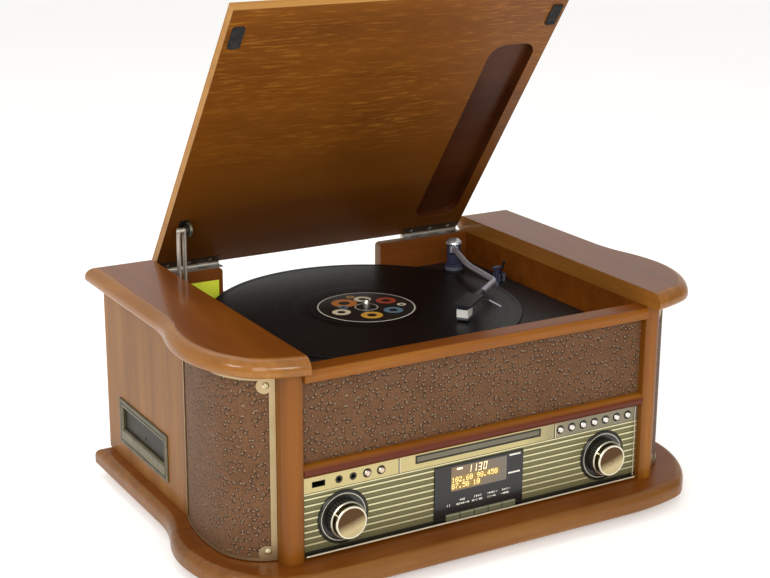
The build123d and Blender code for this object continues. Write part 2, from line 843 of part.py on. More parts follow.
with BuildPart() as cassette_flap:
    flap_width = slot_width - 2 * flap_gap
    flap_height = slot_high - slot_low - 2 * flap_gap
    with Locations((flap_pin_x, cassette_y, slot_low + flap_gap)):
        Box(flap_thick, flap_width, flap_height - 1, align=(Align.CENTER, Align.CENTER, Align.MIN))
    with Locations((flap_pin_x, cassette_y, flap_pin_z)):
        Cylinder(flap_knuckle, flap_width, rotation=(90, 0, 0))
    with Locations((flap_pin_x - flap_thick / 2, cassette_y, slot_low + 7)):
        Cylinder(1.6, 1.2, rotation=(0, 90, 0), mode=Mode.SUBTRACT)
    for end in (-1, 1):
        with Locations((flap_pin_x, cassette_y + end * slot_width / 2, flap_pin_z)):
            Cylinder(flap_pin + 0.06, 4, rotation=(90, 0, 0), mode=Mode.SUBTRACT)
save(cassette_flap, "cassette_flap")

deck_x = bezel_x + board
flap_room = slot_high - slot_low + 3
with BuildPart() as cassette_deck:
    with Locations((deck_x, cassette_y, (cassette_deck_low + cassette_deck_high) / 2)):
        Box(flap_room + cassette_reach, 2 * cassette_deck_half,
            cassette_deck_high - cassette_deck_low, align=(Align.MIN, Align.CENTER, Align.CENTER))
    with Locations((deck_x, cassette_y, slot_level)):
        Box(flap_room, slot_width, slot_high - slot_low, align=(Align.MIN, Align.CENTER,
                                                                Align.CENTER), mode=Mode.SUBTRACT)
    with Locations((deck_x, cassette_y, slot_low + 1)):
        Box(flap_room + cassette_reach - deck_wall, slot_width, cassette_room,
            align=(Align.MIN, Align.CENTER, Align.MIN), mode=Mode.SUBTRACT)
    with Locations((deck_x + flap_room + hub_reach, cassette_y, plinth_top)):
        Box(16, 40, cassette_deck_low - plinth_top, align=(Align.CENTER, Align.CENTER, Align.MIN))
    for side in (-1, 1):
        with Locations((deck_x + flap_room + hub_reach, cassette_y + side * hub_pitch / 2,
                        slot_low - 3)):
            Cylinder(3, hub_height, align=(Align.CENTER, Align.CENTER, Align.MIN))
save(cassette_deck, "cassette_deck")

# ---------------------------------------------------------------- turntable
stay_y = hinge_y - stay_reach * cos(radians(lid_open)) - stay_drop * sin(radians(lid_open))
stay_z = hinge_level + stay_reach * sin(radians(lid_open)) - stay_drop * cos(radians(lid_open))
stay_swing = hypot(stay_reach, stay_drop)
deck_half = rail_half - seat_gap
deck_front = cloth_y + cloth_thick + seat_gap
deck_back = back_board_y - seat_gap
motor_place = (motor_x, face_y + motor_y)
bearing_length = 26
with BuildPart() as turntable_deck:
    with BuildSketch(Plane.XY.offset(deck_level)):
        with Locations((0, (deck_front + deck_back) / 2)):
            Rectangle(2 * deck_half, deck_back - deck_front)
        with Locations((stay_x, (stay_y + hinge_y - stay_reach) / 2)):
            Rectangle(stay_notch, stay_y - hinge_y + stay_reach + 2 * stay_width,
                      mode=Mode.SUBTRACT)
        with Locations(motor_place):
            Circle(motor_shaft + 1.5, mode=Mode.SUBTRACT)
    extrude(amount=-deck_thick)
    with BuildSketch(Plane.XY.offset(deck_level)):
        with Locations((record_x, spindle_y)):
            Circle(spindle_radius + 4)
    extrude(amount=-bearing_length)
    with BuildSketch(Plane.XY.offset(deck_level)):
        with Locations((arm_x, pivot_y)):
            Circle(arm_boss)
    extrude(amount=arm_boss_height, taper=6)
    with BuildSketch(Plane.XY.offset(deck_level + 10)):
        with Locations((record_x, spindle_y)):
            Circle(spindle_radius + spindle_fit)
    extrude(amount=-bearing_length - 8, mode=Mode.SUBTRACT)
save(turntable_deck, "turntable_deck")

record_low = record_level - record_thick
platter_low = record_low - platter_height
with BuildPart() as platter:
    with BuildSketch(Plane.XZ):
        with BuildLine():
            Polyline(
                (0, platter_low - bearing_length + 6),
                (spindle_radius, platter_low - bearing_length + 6),
                (spindle_radius, platter_low + 2),
                (12, platter_low + 2),
                (12, record_low - platter_wall),
                (drive_rim - 3, record_low - platter_wall),
                (drive_rim - 3, platter_low + 1),
                (drive_rim, platter_low + 1),
                (drive_rim, record_low - platter_wall),
                (platter_radius - platter_wall, record_low - platter_wall),
                (platter_radius - platter_wall, platter_low),
                (platter_radius, platter_low),
                (platter_radius, record_low - 1),
                (platter_radius - 1, record_low),
                (spindle_radius, record_low),
                (spindle_radius, record_level + spindle_rise - 3),
                (spindle_radius - 1, record_level + spindle_rise),
                (0, record_level + spindle_rise),
                close=True,
            )
        make_face()
    revolve(axis=Axis.Z)
spindle_place = Location((record_x, spindle_y, 0))
with BuildPart() as placed_platter:
    add(platter.part.moved(spindle_place))
save(placed_platter, "platter")

label_radius = 50
with BuildPart() as record:
    with BuildSketch(Plane.XY.offset(record_low)):
        with Locations((record_x, spindle_y)):
            Circle(record_radius)
            Circle(spindle_radius + 0.05, mode=Mode.SUBTRACT)
    extrude(amount=record_thick)
    chamfer(record.faces().sort_by(Axis.Z)[-1].outer_wire().edges(), 0.6)
    with BuildSketch(Plane.XY.offset(record_level)):
        with Locations((record_x, spindle_y)):
            Circle(record_radius - 4)
            Circle(label_radius + 8, mode=Mode.SUBTRACT)
    extrude(amount=-0.25, mode=Mode.SUBTRACT)
save(record, "record")

motor_top = deck_level - deck_thick - 0.3
with BuildPart() as motor:
    with BuildSketch(Plane.XY.offset(motor_top)):
        with Locations(motor_place):
            Circle(motor_radius)
    extrude(amount=-motor_height)
    chamfer(motor.faces().sort_by(Axis.Z)[0].edges(), 2)
    with BuildSketch(Plane.XY.offset(motor_top)):
        with Locations(motor_place):
            Rectangle(2 * motor_radius + 14, 10)
    extrude(amount=-1.2)
    with BuildSketch(Plane.XY.offset(motor_top)):
        with Locations(motor_place):
            Circle(motor_shaft + 0.06)
    extrude(amount=-motor_height + 4, mode=Mode.SUBTRACT)
save(motor, "motor")

pulley_low = deck_level + 1.5
with BuildPart() as motor_pulley:
    with BuildSketch(Plane.XY.offset(pulley_low)):
        with Locations(motor_place):
            Circle(pulley_radius)
    extrude(amount=pulley_height)
    with BuildSketch(Plane.XY.offset(pulley_low)):
        with Locations(motor_place):
            Circle(motor_shaft)
    extrude(amount=-deck_thick - motor_height / 2)
save(motor_pulley, "motor_pulley")

# the belt runs from the pulley round the rim under the platter
belt_gap = 0.3
belt_middle = pulley_low + pulley_height / 2
with BuildPart() as drive_belt:
    with BuildSketch(Plane.XY.offset(belt_middle)):
        with Locations((record_x, spindle_y)):
            Circle(drive_rim + belt_gap + belt_thick)
        with Locations(motor_place):
            Circle(pulley_radius + belt_gap + belt_thick)
        make_hull()
        with BuildSketch(mode=Mode.PRIVATE) as belt_inside:
            with Locations((record_x, spindle_y)):
                Circle(drive_rim + belt_gap)
            with Locations(motor_place):
                Circle(pulley_radius + belt_gap)
            make_hull()
        add(belt_inside.sketch, mode=Mode.SUBTRACT)
    extrude(amount=belt_height / 2, both=True)
save(drive_belt, "drive_belt")

# ---------------------------------------------------------------- tonearm
to_spindle = atan2(spindle_y - pivot_y, record_x - arm_x)
spindle_away = hypot(spindle_y - pivot_y, record_x - arm_x)
arm_angle = acos(
    (spindle_away**2 + arm_length**2 - stylus_radius**2) / (2 * spindle_away * arm_length))
arm_heading = to_spindle + arm_angle
along = (cos(arm_heading), sin(arm_heading), 0)
arm_plane = Plane(origin=(arm_x, pivot_y, arm_level), x_dir=along, z_dir=(0, 0, 1))
shell_angle = degrees(atan2(-elbow_out, arm_length - elbow_along))
ring_low = deck_level + arm_boss_height
ring_high = ring_low + arm_ring_height
block_half_height = 3.6
parked_heading = arm_heading + radians(parked_swing)
tube_slope = (elbow_out - bend_out) / (elbow_along - bend_along)
rest_out = bend_out + (rest_along - bend_along) * tube_slope
rest_x = arm_x + rest_along * cos(parked_heading) - rest_out * sin(parked_heading)
rest_y = pivot_y + rest_along * sin(parked_heading) + rest_out * cos(parked_heading)
rest_top = arm_level - arm_tube - seat_gap
rest_turn = degrees(parked_heading + atan2(tube_slope, 1))
cue_place = (cue_x, face_y + cue_y)
with BuildPart() as tonearm_base:
    with BuildSketch(Plane.XY.offset(ring_low)):
        with Locations((arm_x, pivot_y)):
            Circle(arm_ring)
            Circle(arm_shaft + arm_pin_fit, mode=Mode.SUBTRACT)
    extrude(amount=arm_ring_height)
    chamfer(tonearm_base.faces().sort_by(Axis.Z)[-1].outer_wire().edges(), 0.8)
    with BuildSketch(Plane.XY.offset(deck_level)):
        with Locations((rest_x, rest_y)):
            Circle(rest_post)
    extrude(amount=rest_top - deck_level - 1)
    with Locations(Location((rest_x, rest_y, rest_top), (0, 0, rest_turn))):
        Box(5, 4 * rest_post, 2.5, align=(Align.CENTER, Align.CENTER, Align.MAX))
    with BuildSketch(Plane.XY.offset(deck_level)):
        with Locations(cue_place):
            Rectangle(cue_block, cue_block)
            Rectangle(cue_thick + 2 * seat_gap, cue_block, mode=Mode.SUBTRACT)
    extrude(amount=cue_height)
    with Locations((*cue_place, deck_level + cue_pin_height)):
        Cylinder(arm_pin, cue_block - 1, rotation=(0, 90, 0))
save(tonearm_base, "tonearm_base")

dome_facets = [radians(i * 22.5) for i in range(5)]
with BuildPart() as tonearm_yoke:
    with BuildSketch(Plane.XY.offset(ring_high + seat_gap)):
        with Locations((arm_x, pivot_y)):
            Circle(tower_radius)
    extrude(amount=tower_top - ring_high - seat_gap)
    with BuildSketch(Plane.XY.offset(ring_high + seat_gap)):
        with Locations((arm_x, pivot_y)):
            Circle(arm_shaft)
    extrude(amount=-arm_ring_height)
    with BuildSketch(Plane.XZ.offset(-pivot_y)):
        with BuildLine():
            Polyline(*[(arm_x + dome_radius * sin(a), tower_top + dome_height * cos(a))
                       for a in dome_facets])
            Polyline((arm_x + dome_radius, tower_top), (arm_x, tower_top),
                     (arm_x, tower_top + dome_height))
        make_face()
    revolve(axis=Axis((arm_x, pivot_y, 0), (0, 0, 1)))
    with Locations(arm_plane):
        Box(6 * tower_radius, 2 * arm_slot, 2 * block_half_height + 2.4, mode=Mode.SUBTRACT)
    with Locations(arm_plane * Location((0, 0, 0), (90, 0, 0))):
        Cylinder(arm_pin, 2 * tower_radius - 2)
save(tonearm_yoke, "tonearm_yoke")

with BuildPart() as tonearm:
    with Locations(arm_plane):
        Box(8, 2 * arm_block, 2 * block_half_height)
    with BuildLine(arm_plane):
        tube_path = FilletPolyline(
            (0, 0),
            (bend_along, bend_out),
            (elbow_along, elbow_out),
            (arm_length - 44 * cos(radians(shell_angle)), -44 * sin(radians(shell_angle))),
            radius=(90, 12),
        )
    with BuildSketch(Plane(origin=tube_path @ 0, z_dir=tube_path % 0)):
        Circle(arm_tube)
    sweep()
    shell_plane = arm_plane * Location((arm_length, 0, 0), (0, 0, shell_angle))
    with Locations(shell_plane * Location((-38, 0, 0), (0, 90, 0))):
        Cylinder(collar_radius, 13)
    with Locations(shell_plane * Location((-12, 0, shell_top - arm_level))):
        Box(42, shell_width, shell_thick, align=(Align.CENTER, Align.CENTER, Align.MAX))
    with Locations(arm_plane * Location((0, 0, 0), (90, 0, 0))):
        Cylinder(arm_pin + arm_pin_fit, 4 * tower_radius, mode=Mode.SUBTRACT)
    with Locations(arm_plane * Location((-4, 0, 0), (0, -90, 0))):
        Cylinder(2, tower_radius, align=(Align.CENTER, Align.CENTER, Align.MIN))
    with Locations(arm_plane * Location((-4 - tower_radius, 0, 0), (0, -90, 0))):
        Cylinder(4.6, 9, align=(Align.CENTER, Align.CENTER, Align.MIN))
    with BuildLine(Plane(shell_plane)):
        lift_path = FilletPolyline(
            (-20, shell_width / 2 - 1, shell_top - arm_level - 1),
            (-20, shell_width / 2 + 9, shell_top - arm_level - 1),
            (-17, shell_width / 2 + 22, shell_top - arm_level - 5),
            radius=6,
        )
    with BuildSketch(Plane(origin=lift_path @ 0, z_dir=lift_path % 0)):
        Circle(0.8)
    sweep(path=lift_path)
save(tonearm, "tonearm")

cartridge_top = shell_top - shell_thick
stylus_tip = record_level + stylus_gap
with BuildPart() as cartridge:
    with Locations(shell_plane * Location((0, 0, cartridge_top - arm_level))):
        Box(cartridge_length, cartridge_width - 2, cartridge_mount,
            align=(Align.CENTER, Align.CENTER, Align.MAX))
    with Locations(shell_plane * Location((0, 0, cartridge_top - cartridge_mount - arm_level))):
        Box(cartridge_length, cartridge_width, cartridge_top - cartridge_mount - cartridge_low,
            align=(Align.CENTER, Align.CENTER, Align.MAX))
    chamfer(cartridge.edges().filter_by(Axis.Z), 0.8)
    with Locations(shell_plane * Location((0, 0, cartridge_low - arm_level))):
        Cone(0.7, 0.3, cartridge_low - stylus_tip, rotation=(180, 0, 0),
             align=(Align.CENTER, Align.CENTER, Align.MIN))
save(cartridge, "cartridge")

with BuildPart() as cue_lever:
    with Locations((*cue_place, deck_level + cue_pin_height)):
        Cylinder(3.4, cue_thick, rotation=(0, 90, 0))
    with Locations(Location((*cue_place, deck_level + cue_pin_height), (28, 0, 0))):
        Cylinder(1.2, cue_length, align=(Align.CENTER, Align.CENTER, Align.MIN))
    with Locations((*cue_place, deck_level + cue_pin_height)):
        Cylinder(arm_pin + arm_pin_fit, cue_block, rotation=(0, 90, 0), mode=Mode.SUBTRACT)
save(cue_lever, "cue_lever")

# ---------------------------------------------------------------- lid and its hinges
lid_angle = radians(lid_open)
lid_plane = Plane(origin=(0, hinge_y, hinge_level), x_dir=(1, 0, 0),
                  z_dir=(0, sin(lid_angle), cos(lid_angle)))
hinge_middle = (hinge_inner + hinge_outer) / 2
knuckle_pitch = hinge_length / knuckle_count
knuckle_length = knuckle_pitch - knuckle_gap
knuckle_places = [hinge_inner + (i + 0.5) * knuckle_pitch for i in range(knuckle_count)]
leaf_low = hinge_level - cap_under - leaf_thick
pocket_length = pocket_far - pocket_near
with BuildPart() as lid:
    with BuildSketch(lid_plane.offset(lid_gap + pocket_depth)):
        with Locations((0, -lid_rear)):
            Rectangle(2 * lid_half, lid_length, align=(Align.CENTER, Align.MAX))
    extrude(amount=lid_thick - pocket_depth)
    outer_face = lid.faces().sort_by(Axis(lid_plane.origin, lid_plane.z_dir))[-1]
    fillet(outer_face.edges(), lid_round)
save(lid, "lid")

with BuildPart() as lid_lining:
    with BuildSketch(lid_plane.offset(lid_gap)):
        with Locations((0, -lid_rear)):
            Rectangle(2 * lid_half, lid_length, align=(Align.CENTER, Align.MAX))
        with Locations((pocket_right - pocket_width / 2, -pocket_near - pocket_length / 2)):
            RectangleRounded(pocket_width, pocket_length, pocket_corner, mode=Mode.SUBTRACT)
    extrude(amount=pocket_depth)
    for side in (-1, 1):
        with Locations(lid_plane * Location((side * hinge_middle, -leaf_width, 0))):
            Box(hinge_length, leaf_width, leaf_low + leaf_thick,
                align=(Align.CENTER, Align.MIN, Align.MIN), mode=Mode.SUBTRACT)
save(lid_lining, "lid_lining")

with BuildPart() as lid_leaves:
    for side in (-1, 1):
        with Locations(lid_plane * Location((side * hinge_middle, -leaf_width, leaf_low))):
            Box(hinge_length, leaf_width - lid_rear, leaf_thick,
                align=(Align.CENTER, Align.MIN, Align.MIN))
        for x in knuckle_places[1::2]:
            with Locations(lid_plane * Location((side * x, 0, leaf_low))):
                Box(knuckle_length, leaf_width - lid_rear, leaf_thick,
                    align=(Align.CENTER, Align.MAX, Align.MIN))
            with Locations(lid_plane * Location((side * x, 0, 0), (0, 90, 0))):
                Cylinder(knuckle_radius, knuckle_length)
        with Locations(lid_plane * Location((side * hinge_middle, 0, 0), (0, 90, 0))):
            Cylinder(hinge_pin + hinge_fit, hinge_length + 1, mode=Mode.SUBTRACT)
save(lid_leaves, "lid_leaves")

leaf_front = back_board_y + 3
with BuildPart() as cabinet_leaves:
    with Locations((hinge_middle, leaf_front, cap_under)):
        Box(hinge_length, back_board_y + board - leaf_front, leaf_thick,
            align=(Align.CENTER, Align.MIN, Align.MIN))
    for x in knuckle_places[::2]:
        with Locations((x, leaf_front, cap_under)):
            Box(knuckle_length, hinge_y - leaf_front, leaf_thick,
                align=(Align.CENTER, Align.MIN, Align.MIN))
        with Locations((x, hinge_y, hinge_level)):
            Cylinder(knuckle_radius, knuckle_length, rotation=(0, 90, 0))
    with Locations((hinge_middle, hinge_y, hinge_level)):
        Cylinder(hinge_pin, hinge_length - 2 * knuckle_gap, rotation=(0, 90, 0))
    mirror(about=Plane.YZ)
save(cabinet_leaves, "cabinet_leaves")

with BuildPart() as lid_pads:
    with Locations(*[lid_plane * Location((x, -pad_far, lid_gap)) for x in (-pad_at, pad_at)]):
        Box(pad_width, pad_length, pad_thick, align=(Align.CENTER, Align.MIN, Align.MAX))
    fillet(lid_pads.edges().filter_by(Axis(lid_plane.origin, lid_plane.z_dir)), 2)
save(lid_pads, "lid_pads")

# ---------------------------------------------------------------- lid stay
pivot_place = lid_plane * Location((stay_x, -stay_reach, -stay_drop))
with BuildPart() as stay_plate:
    with Locations(lid_plane * Location((stay_x, -stay_reach, lid_gap))):
        Box(stay_seat_width, stay_seat_length, stay_thick,
            align=(Align.CENTER, Align.CENTER, Align.MAX))
    with Locations(lid_plane * Location((stay_x, -stay_reach, lid_gap))):
        Box(stay_thick, stay_disc, stay_drop, align=(Align.MIN, Align.CENTER, Align.MAX))
    with Locations(pivot_place * Location((0, 0, 0), (0, 90, 0))):
        Cylinder(stay_disc, stay_thick, align=(Align.CENTER, Align.CENTER, Align.MIN))
        Cylinder(stay_pin, stay_spread + stay_thick + stay_clear,
                 align=(Align.CENTER, Align.CENTER, Align.MAX))
save(stay_plate, "stay_plate")

bar_x = stay_x - stay_clear
foot_z = stay_z - stay_length
with BuildPart() as stay_arm:
    for x in (bar_x, bar_x - stay_spread):
        with BuildSketch(Plane.YZ.offset(x)):
            with Locations((stay_y, stay_z - stay_length / 2)):
                SlotCenterToCenter(stay_length, stay_width, rotation=90)
        extrude(amount=-stay_thick)
    with Locations((bar_x, stay_y, stay_z)):
        Cylinder(stay_width / 2, stay_spread, rotation=(0, 90, 0),
                 align=(Align.CENTER, Align.CENTER, Align.MAX))
        Cylinder(stay_pin + stay_fit, 4 * stay_spread, rotation=(0, 90, 0), mode=Mode.SUBTRACT)
    with Locations((bar_x, stay_y, foot_z)):
        Cylinder(stay_pin, well_half + bar_x - stay_clear, rotation=(0, 90, 0),
                 align=(Align.CENTER, Align.CENTER, Align.MAX))
save(stay_arm, "stay_arm")

guide_round = stay_pin + stay_clear + guide_margin
guide_low = hinge_level - stay_drop - stay_length - guide_round
with BuildPart() as stay_guide:
    with BuildLine(mode=Mode.PRIVATE) as guide_path:
        CenterArc((hinge_y, hinge_level - stay_length), stay_swing,
                  180 + degrees(atan2(stay_drop, stay_reach)) - lid_open, lid_open)
    with BuildSketch(Plane.YZ.offset(-well_half)):
        with Locations((hinge_y - stay_reach - guide_round, guide_low)):
            Rectangle(stay_y - hinge_y + stay_reach + 2 * guide_round,
                      foot_z + guide_round - guide_low, align=(Align.MIN, Align.MIN))
        SlotArc(guide_path.edge(), 2 * (stay_pin + stay_clear), mode=Mode.SUBTRACT)
    extrude(amount=guide_thick)
save(stay_guide, "stay_guide")

# ---------------------------------------------------------------- inside
board_thick = 1.6
main_board_level = plinth_top + 8
main_board_place = (main_board_x, face_y + main_board_y)
front_board_low = fascia_low + 5
front_board_high = cd_low - 2
front_board_side = 78
front_board_top = fascia_high - 3
encoder_radius = 6
encoder_length = 6
switch_y = lip_y + button_flange + button_travel + seat_gap
with BuildPart() as circuit_boards:
    with Locations((*main_board_place, main_board_level)):
        Box(*main_board, board_thick, align=(Align.CENTER, Align.CENTER, Align.MIN))
        with GridLocations(main_board[0] - 12, main_board[1] - 12, 2, 2):
            Cylinder(3, main_board_level - plinth_top,
                     align=(Align.CENTER, Align.CENTER, Align.MAX))
    with Locations((main_board_place[0] - 40, main_board_place[1] - 20,
                    main_board_level + board_thick)):
        Box(60, 24, 28, align=(Align.CENTER, Align.CENTER, Align.MIN))
    with Locations((main_board_place[0] + 50, main_board_place[1],
                    main_board_level + board_thick)):
        with GridLocations(26, 30, 2, 3):
            Cylinder(8, 22, align=(Align.CENTER, Align.CENTER, Align.MIN))
    with BuildSketch(Plane.XZ.offset(-board_y)):
        with Locations((0, front_board_low)):
            Rectangle(2 * (fascia_half - 6), front_board_high - front_board_low,
                      align=(Align.CENTER, Align.MIN))
        for side in (-1, 1):
            with Locations((side * (fascia_half - 6 + front_board_side) / 2, front_board_low)):
                Rectangle(fascia_half - 6 - front_board_side, front_board_top - front_board_low,
                          align=(Align.CENTER, Align.MIN))
    extrude(amount=-board_thick)
    with BuildSketch(Plane.XZ.offset(-board_y)):
        with Locations(*knob_places):
            Circle(encoder_radius)
            Circle(knob_shaft + 0.06, mode=Mode.SUBTRACT)
    extrude(amount=encoder_length)
    with BuildSketch(Plane.XZ.offset(-board_y)):
        with Locations(*[(x, row_level) for x in left_row + right_row]):
            Rectangle(6, 6)
        with Locations(*[(key_middle + (i - (key_count - 1) / 2) * key_pitch, key_high)
                         for i in range(key_count)]):
            Rectangle(6, 4)
    extrude(amount=board_y - switch_y)
save(circuit_boards, "circuit_boards")

with BuildPart() as transformer:
    with Locations((transformer_x, face_y + transformer_y, plinth_top)):
        Box(*core_size, align=(Align.CENTER, Align.CENTER, Align.MIN))
        Box(core_size[0] + 18, 14, 2, align=(Align.CENTER, Align.CENTER, Align.MIN))
        with Locations((0, 0, 10)):
            Box(core_size[0] - 20, core_size[1] + 20, core_size[2] - 18,
                align=(Align.CENTER, Align.CENTER, Align.MIN))
save(transformer, "transformer")

panel_y = back_board_y + board
inlet_width = 15
inlet_height = 9
rca_places = [(terminal_x - 26, terminal_level - 7), (terminal_x - 26, terminal_level + 7)]
with BuildPart() as rear_terminals:
    with BuildSketch(Plane.XZ.offset(-panel_y)):
        with Locations((terminal_x, terminal_level)):
            RectangleRounded(terminal_width, terminal_height, 2)
    extrude(amount=-2)
    with BuildSketch(Plane.XZ.offset(-panel_y)):
        with Locations((terminal_x, terminal_level)):
            Rectangle(terminal_width - 9, terminal_height - 9)
    extrude(amount=board)
    with BuildSketch(Plane.XZ.offset(-panel_y - 2)):
        with Locations(*rca_places):
            Circle(4.2)
    extrude(amount=-5)
    with BuildSketch(Plane.XZ.offset(-panel_y - 7)):
        with Locations(*rca_places):
            Circle(1.7)
        with Locations((terminal_x + 24, terminal_level)):
            SlotOverall(inlet_width, inlet_height)
    extrude(amount=14, mode=Mode.SUBTRACT)
    with BuildSketch(Plane.XZ.offset(-panel_y + 7)):
        with Locations(*[(terminal_x + 24 + side * 3.5, terminal_level) for side in (-1, 1)]):
            Circle(1.2)
    extrude(amount=-7)
save(rear_terminals, "rear_terminals")
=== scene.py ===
"""Dresses the stereo music centre: its finishes, its small trim and the light it stands in."""

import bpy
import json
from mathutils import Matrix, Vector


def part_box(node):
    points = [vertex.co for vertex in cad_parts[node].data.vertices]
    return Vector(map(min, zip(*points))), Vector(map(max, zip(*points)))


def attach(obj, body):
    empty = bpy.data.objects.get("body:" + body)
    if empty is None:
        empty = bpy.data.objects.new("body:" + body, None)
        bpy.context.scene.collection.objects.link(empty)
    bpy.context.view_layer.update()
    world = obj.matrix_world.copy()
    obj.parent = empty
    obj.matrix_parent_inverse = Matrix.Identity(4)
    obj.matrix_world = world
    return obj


bl_info = {
    "name": "Music Centre Finishes",
    "version": (1, 0, 0),
    "blender": (4, 5, 0),
    "location": "3D View > Sidebar > Music Centre",
    "description": "Finishes, trim and stage for a wooden stereo music centre",
    "category": "Material",
}

import json
from math import cos, pi, radians, sin

import bmesh
import bpy
from bpy.props import FloatProperty, FloatVectorProperty, PointerProperty
from mathutils import Matrix, Vector

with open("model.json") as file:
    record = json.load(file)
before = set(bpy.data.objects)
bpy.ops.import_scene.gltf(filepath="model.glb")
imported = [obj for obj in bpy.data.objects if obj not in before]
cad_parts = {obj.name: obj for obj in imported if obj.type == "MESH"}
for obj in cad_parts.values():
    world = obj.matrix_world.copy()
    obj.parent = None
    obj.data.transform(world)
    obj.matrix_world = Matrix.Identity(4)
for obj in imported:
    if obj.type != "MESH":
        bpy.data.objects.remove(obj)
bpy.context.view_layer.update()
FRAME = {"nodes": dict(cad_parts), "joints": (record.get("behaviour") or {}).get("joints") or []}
NODES = FRAME["nodes"]
MM = 0.001


def mm(*values):
    """Millimetres as metres."""
    return tuple(value * MM for value in values)


FLOOR_SIZE = 9.0

# ------------------------------------------------------------------ places taken from the frame
FASCIA_LOW, FASCIA_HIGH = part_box("fascia")
DISPLAY_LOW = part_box("display_block")[0]
WINDOW_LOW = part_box("display_window")[0]
RECORD_LOW, RECORD_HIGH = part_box("record")
JOINTS = {joint["name"]: joint for joint in FRAME["joints"]}
LID_HINGE, ARM_LIFT = JOINTS["lid_hinge"], JOINTS["arm_lift"]
LID_ANGLE = radians(LID_HINGE["range_deg"][1])
LID_FRAME = Matrix.Translation(LID_HINGE["pos_m"]) @ Matrix.Rotation(-LID_ANGLE, 4, "X")
LID_OUT = LID_FRAME.to_3x3() @ Vector((0, 0, 1))
LID_AWAY = LID_FRAME.to_3x3() @ Vector((0, -1, 0))
ARM_ACROSS = Vector(ARM_LIFT["axis"])
ARM_ALONG = ARM_ACROSS.cross(Vector((0, 0, 1)))
ARM_PLACE = Vector(ARM_LIFT["pos_m"])
STRIP_LOW = 88.5 * MM
FASCIA_FACE = -147.5 * MM
STRIP_FACE = FASCIA_FACE - 0.8 * MM
KEY_FACE = -151 * MM
LIP_CLEAR = 0.5 * MM
LIP_THICK = 0.7 * MM
POCKET_LOW, POCKET_HIGH = mm(113.5, 165.5)
POCKET_NEAR, POCKET_FAR = mm(27, 278)


# ------------------------------------------------------------------ shader arithmetic
class Sock:
    """A shader socket that adds Math nodes when it meets Python's operators."""

    def __init__(self, tree, out):
        self.tree = tree
        self.out = out

    def math(self, operation, *others, clamp=False):
        node = self.tree.nodes.new("ShaderNodeMath")
        node.operation = operation
        node.use_clamp = clamp
        for socket, value in zip(node.inputs, others):
            plug(self.tree, socket, value)
        return Sock(self.tree, node.outputs[0])

    def __add__(self, other):
        return self.math("ADD", self, other)

    def __sub__(self, other):
        return self.math("SUBTRACT", self, other)

    def __rsub__(self, other):
        return self.math("SUBTRACT", other, self)

    def __mul__(self, other):
        return self.math("MULTIPLY", self, other)

    def __truediv__(self, other):
        return self.math("DIVIDE", self, other)

    __radd__ = __add__
    __rmul__ = __mul__

    def above(self, edge, soft=0.0):
        """1 where the value is over the edge, 0 where it is under, over a soft width."""
        if not soft:
            return self.math("GREATER_THAN", self, edge)
        return self.math("ADD", (self - edge) / soft, 0.5, clamp=True)

    def below(self, edge, soft=0.0):
        return 1 - self.above(edge, soft)

    def between(self, low, high, soft=0.0):
        return self.above(low, soft) * self.below(high, soft)

    def size(self):
        return self.math("ABSOLUTE", self)

    def root(self):
        return self.math("SQRT", self)

    def most(self, other):
        return self.math("MAXIMUM", self, other)

    def least(self, other):
        return self.math("MINIMUM", self, other)

    def angle(self, across):
        """The angle whose sine side is this value and whose cosine side is `across`."""
        return self.math("ARCTAN2", self, across)

    def repeat(self, step):
        """How far along its own step the value stands, 0 to 1."""
        return self.math("FRACT", self / step)


def plug(tree, socket, value):
    """Link a Sock to a socket, or set a plain value on it."""
    if isinstance(value, Sock):
        tree.links.new(value.out, socket)
    elif socket.type == "RGBA":
        socket.default_value = (*paint(value), 1)
    else:
        socket.default_value = value


class Nodes:
    """A node tree that nodes are added to."""

    def __init__(self, tree):
        self.tree = tree

    def make(self, kind, settings=None, **values):
        """Add a node: settings first, then the values or links of its sockets."""
        node = self.tree.nodes.new(kind)
        for key, value in (settings or {}).items():
            if key == "stops":
                for i, (position, colour) in enumerate(value):
                    ramp = node.color_ramp.elements
                    stop = ramp[i] if i < len(ramp) else ramp.new(position)
                    stop.position = position
                    stop.color = (*paint(colour), 1)
            else:
                setattr(node, key, value)
        for key, value in values.items():
            plug(self.tree, node.inputs[key], value)
        return {out.name: Sock(self.tree, out) for out in node.outputs}

    def mix(self, amount, first, second):
        node = self.tree.nodes.new("ShaderNodeMix")
        node.data_type = "RGBA"
        plug(self.tree, node.inputs[0], amount)
        plug(self.tree, node.inputs[6], first)
        plug(self.tree, node.inputs[7], second)
        return Sock(self.tree, node.outputs[2])

    def layers(self, ground, *coats):
        """A ground under coats, each an amount and a colour, the last on top."""
        for amount, coat in coats:
            ground = self.mix(amount, ground, coat)
        return ground


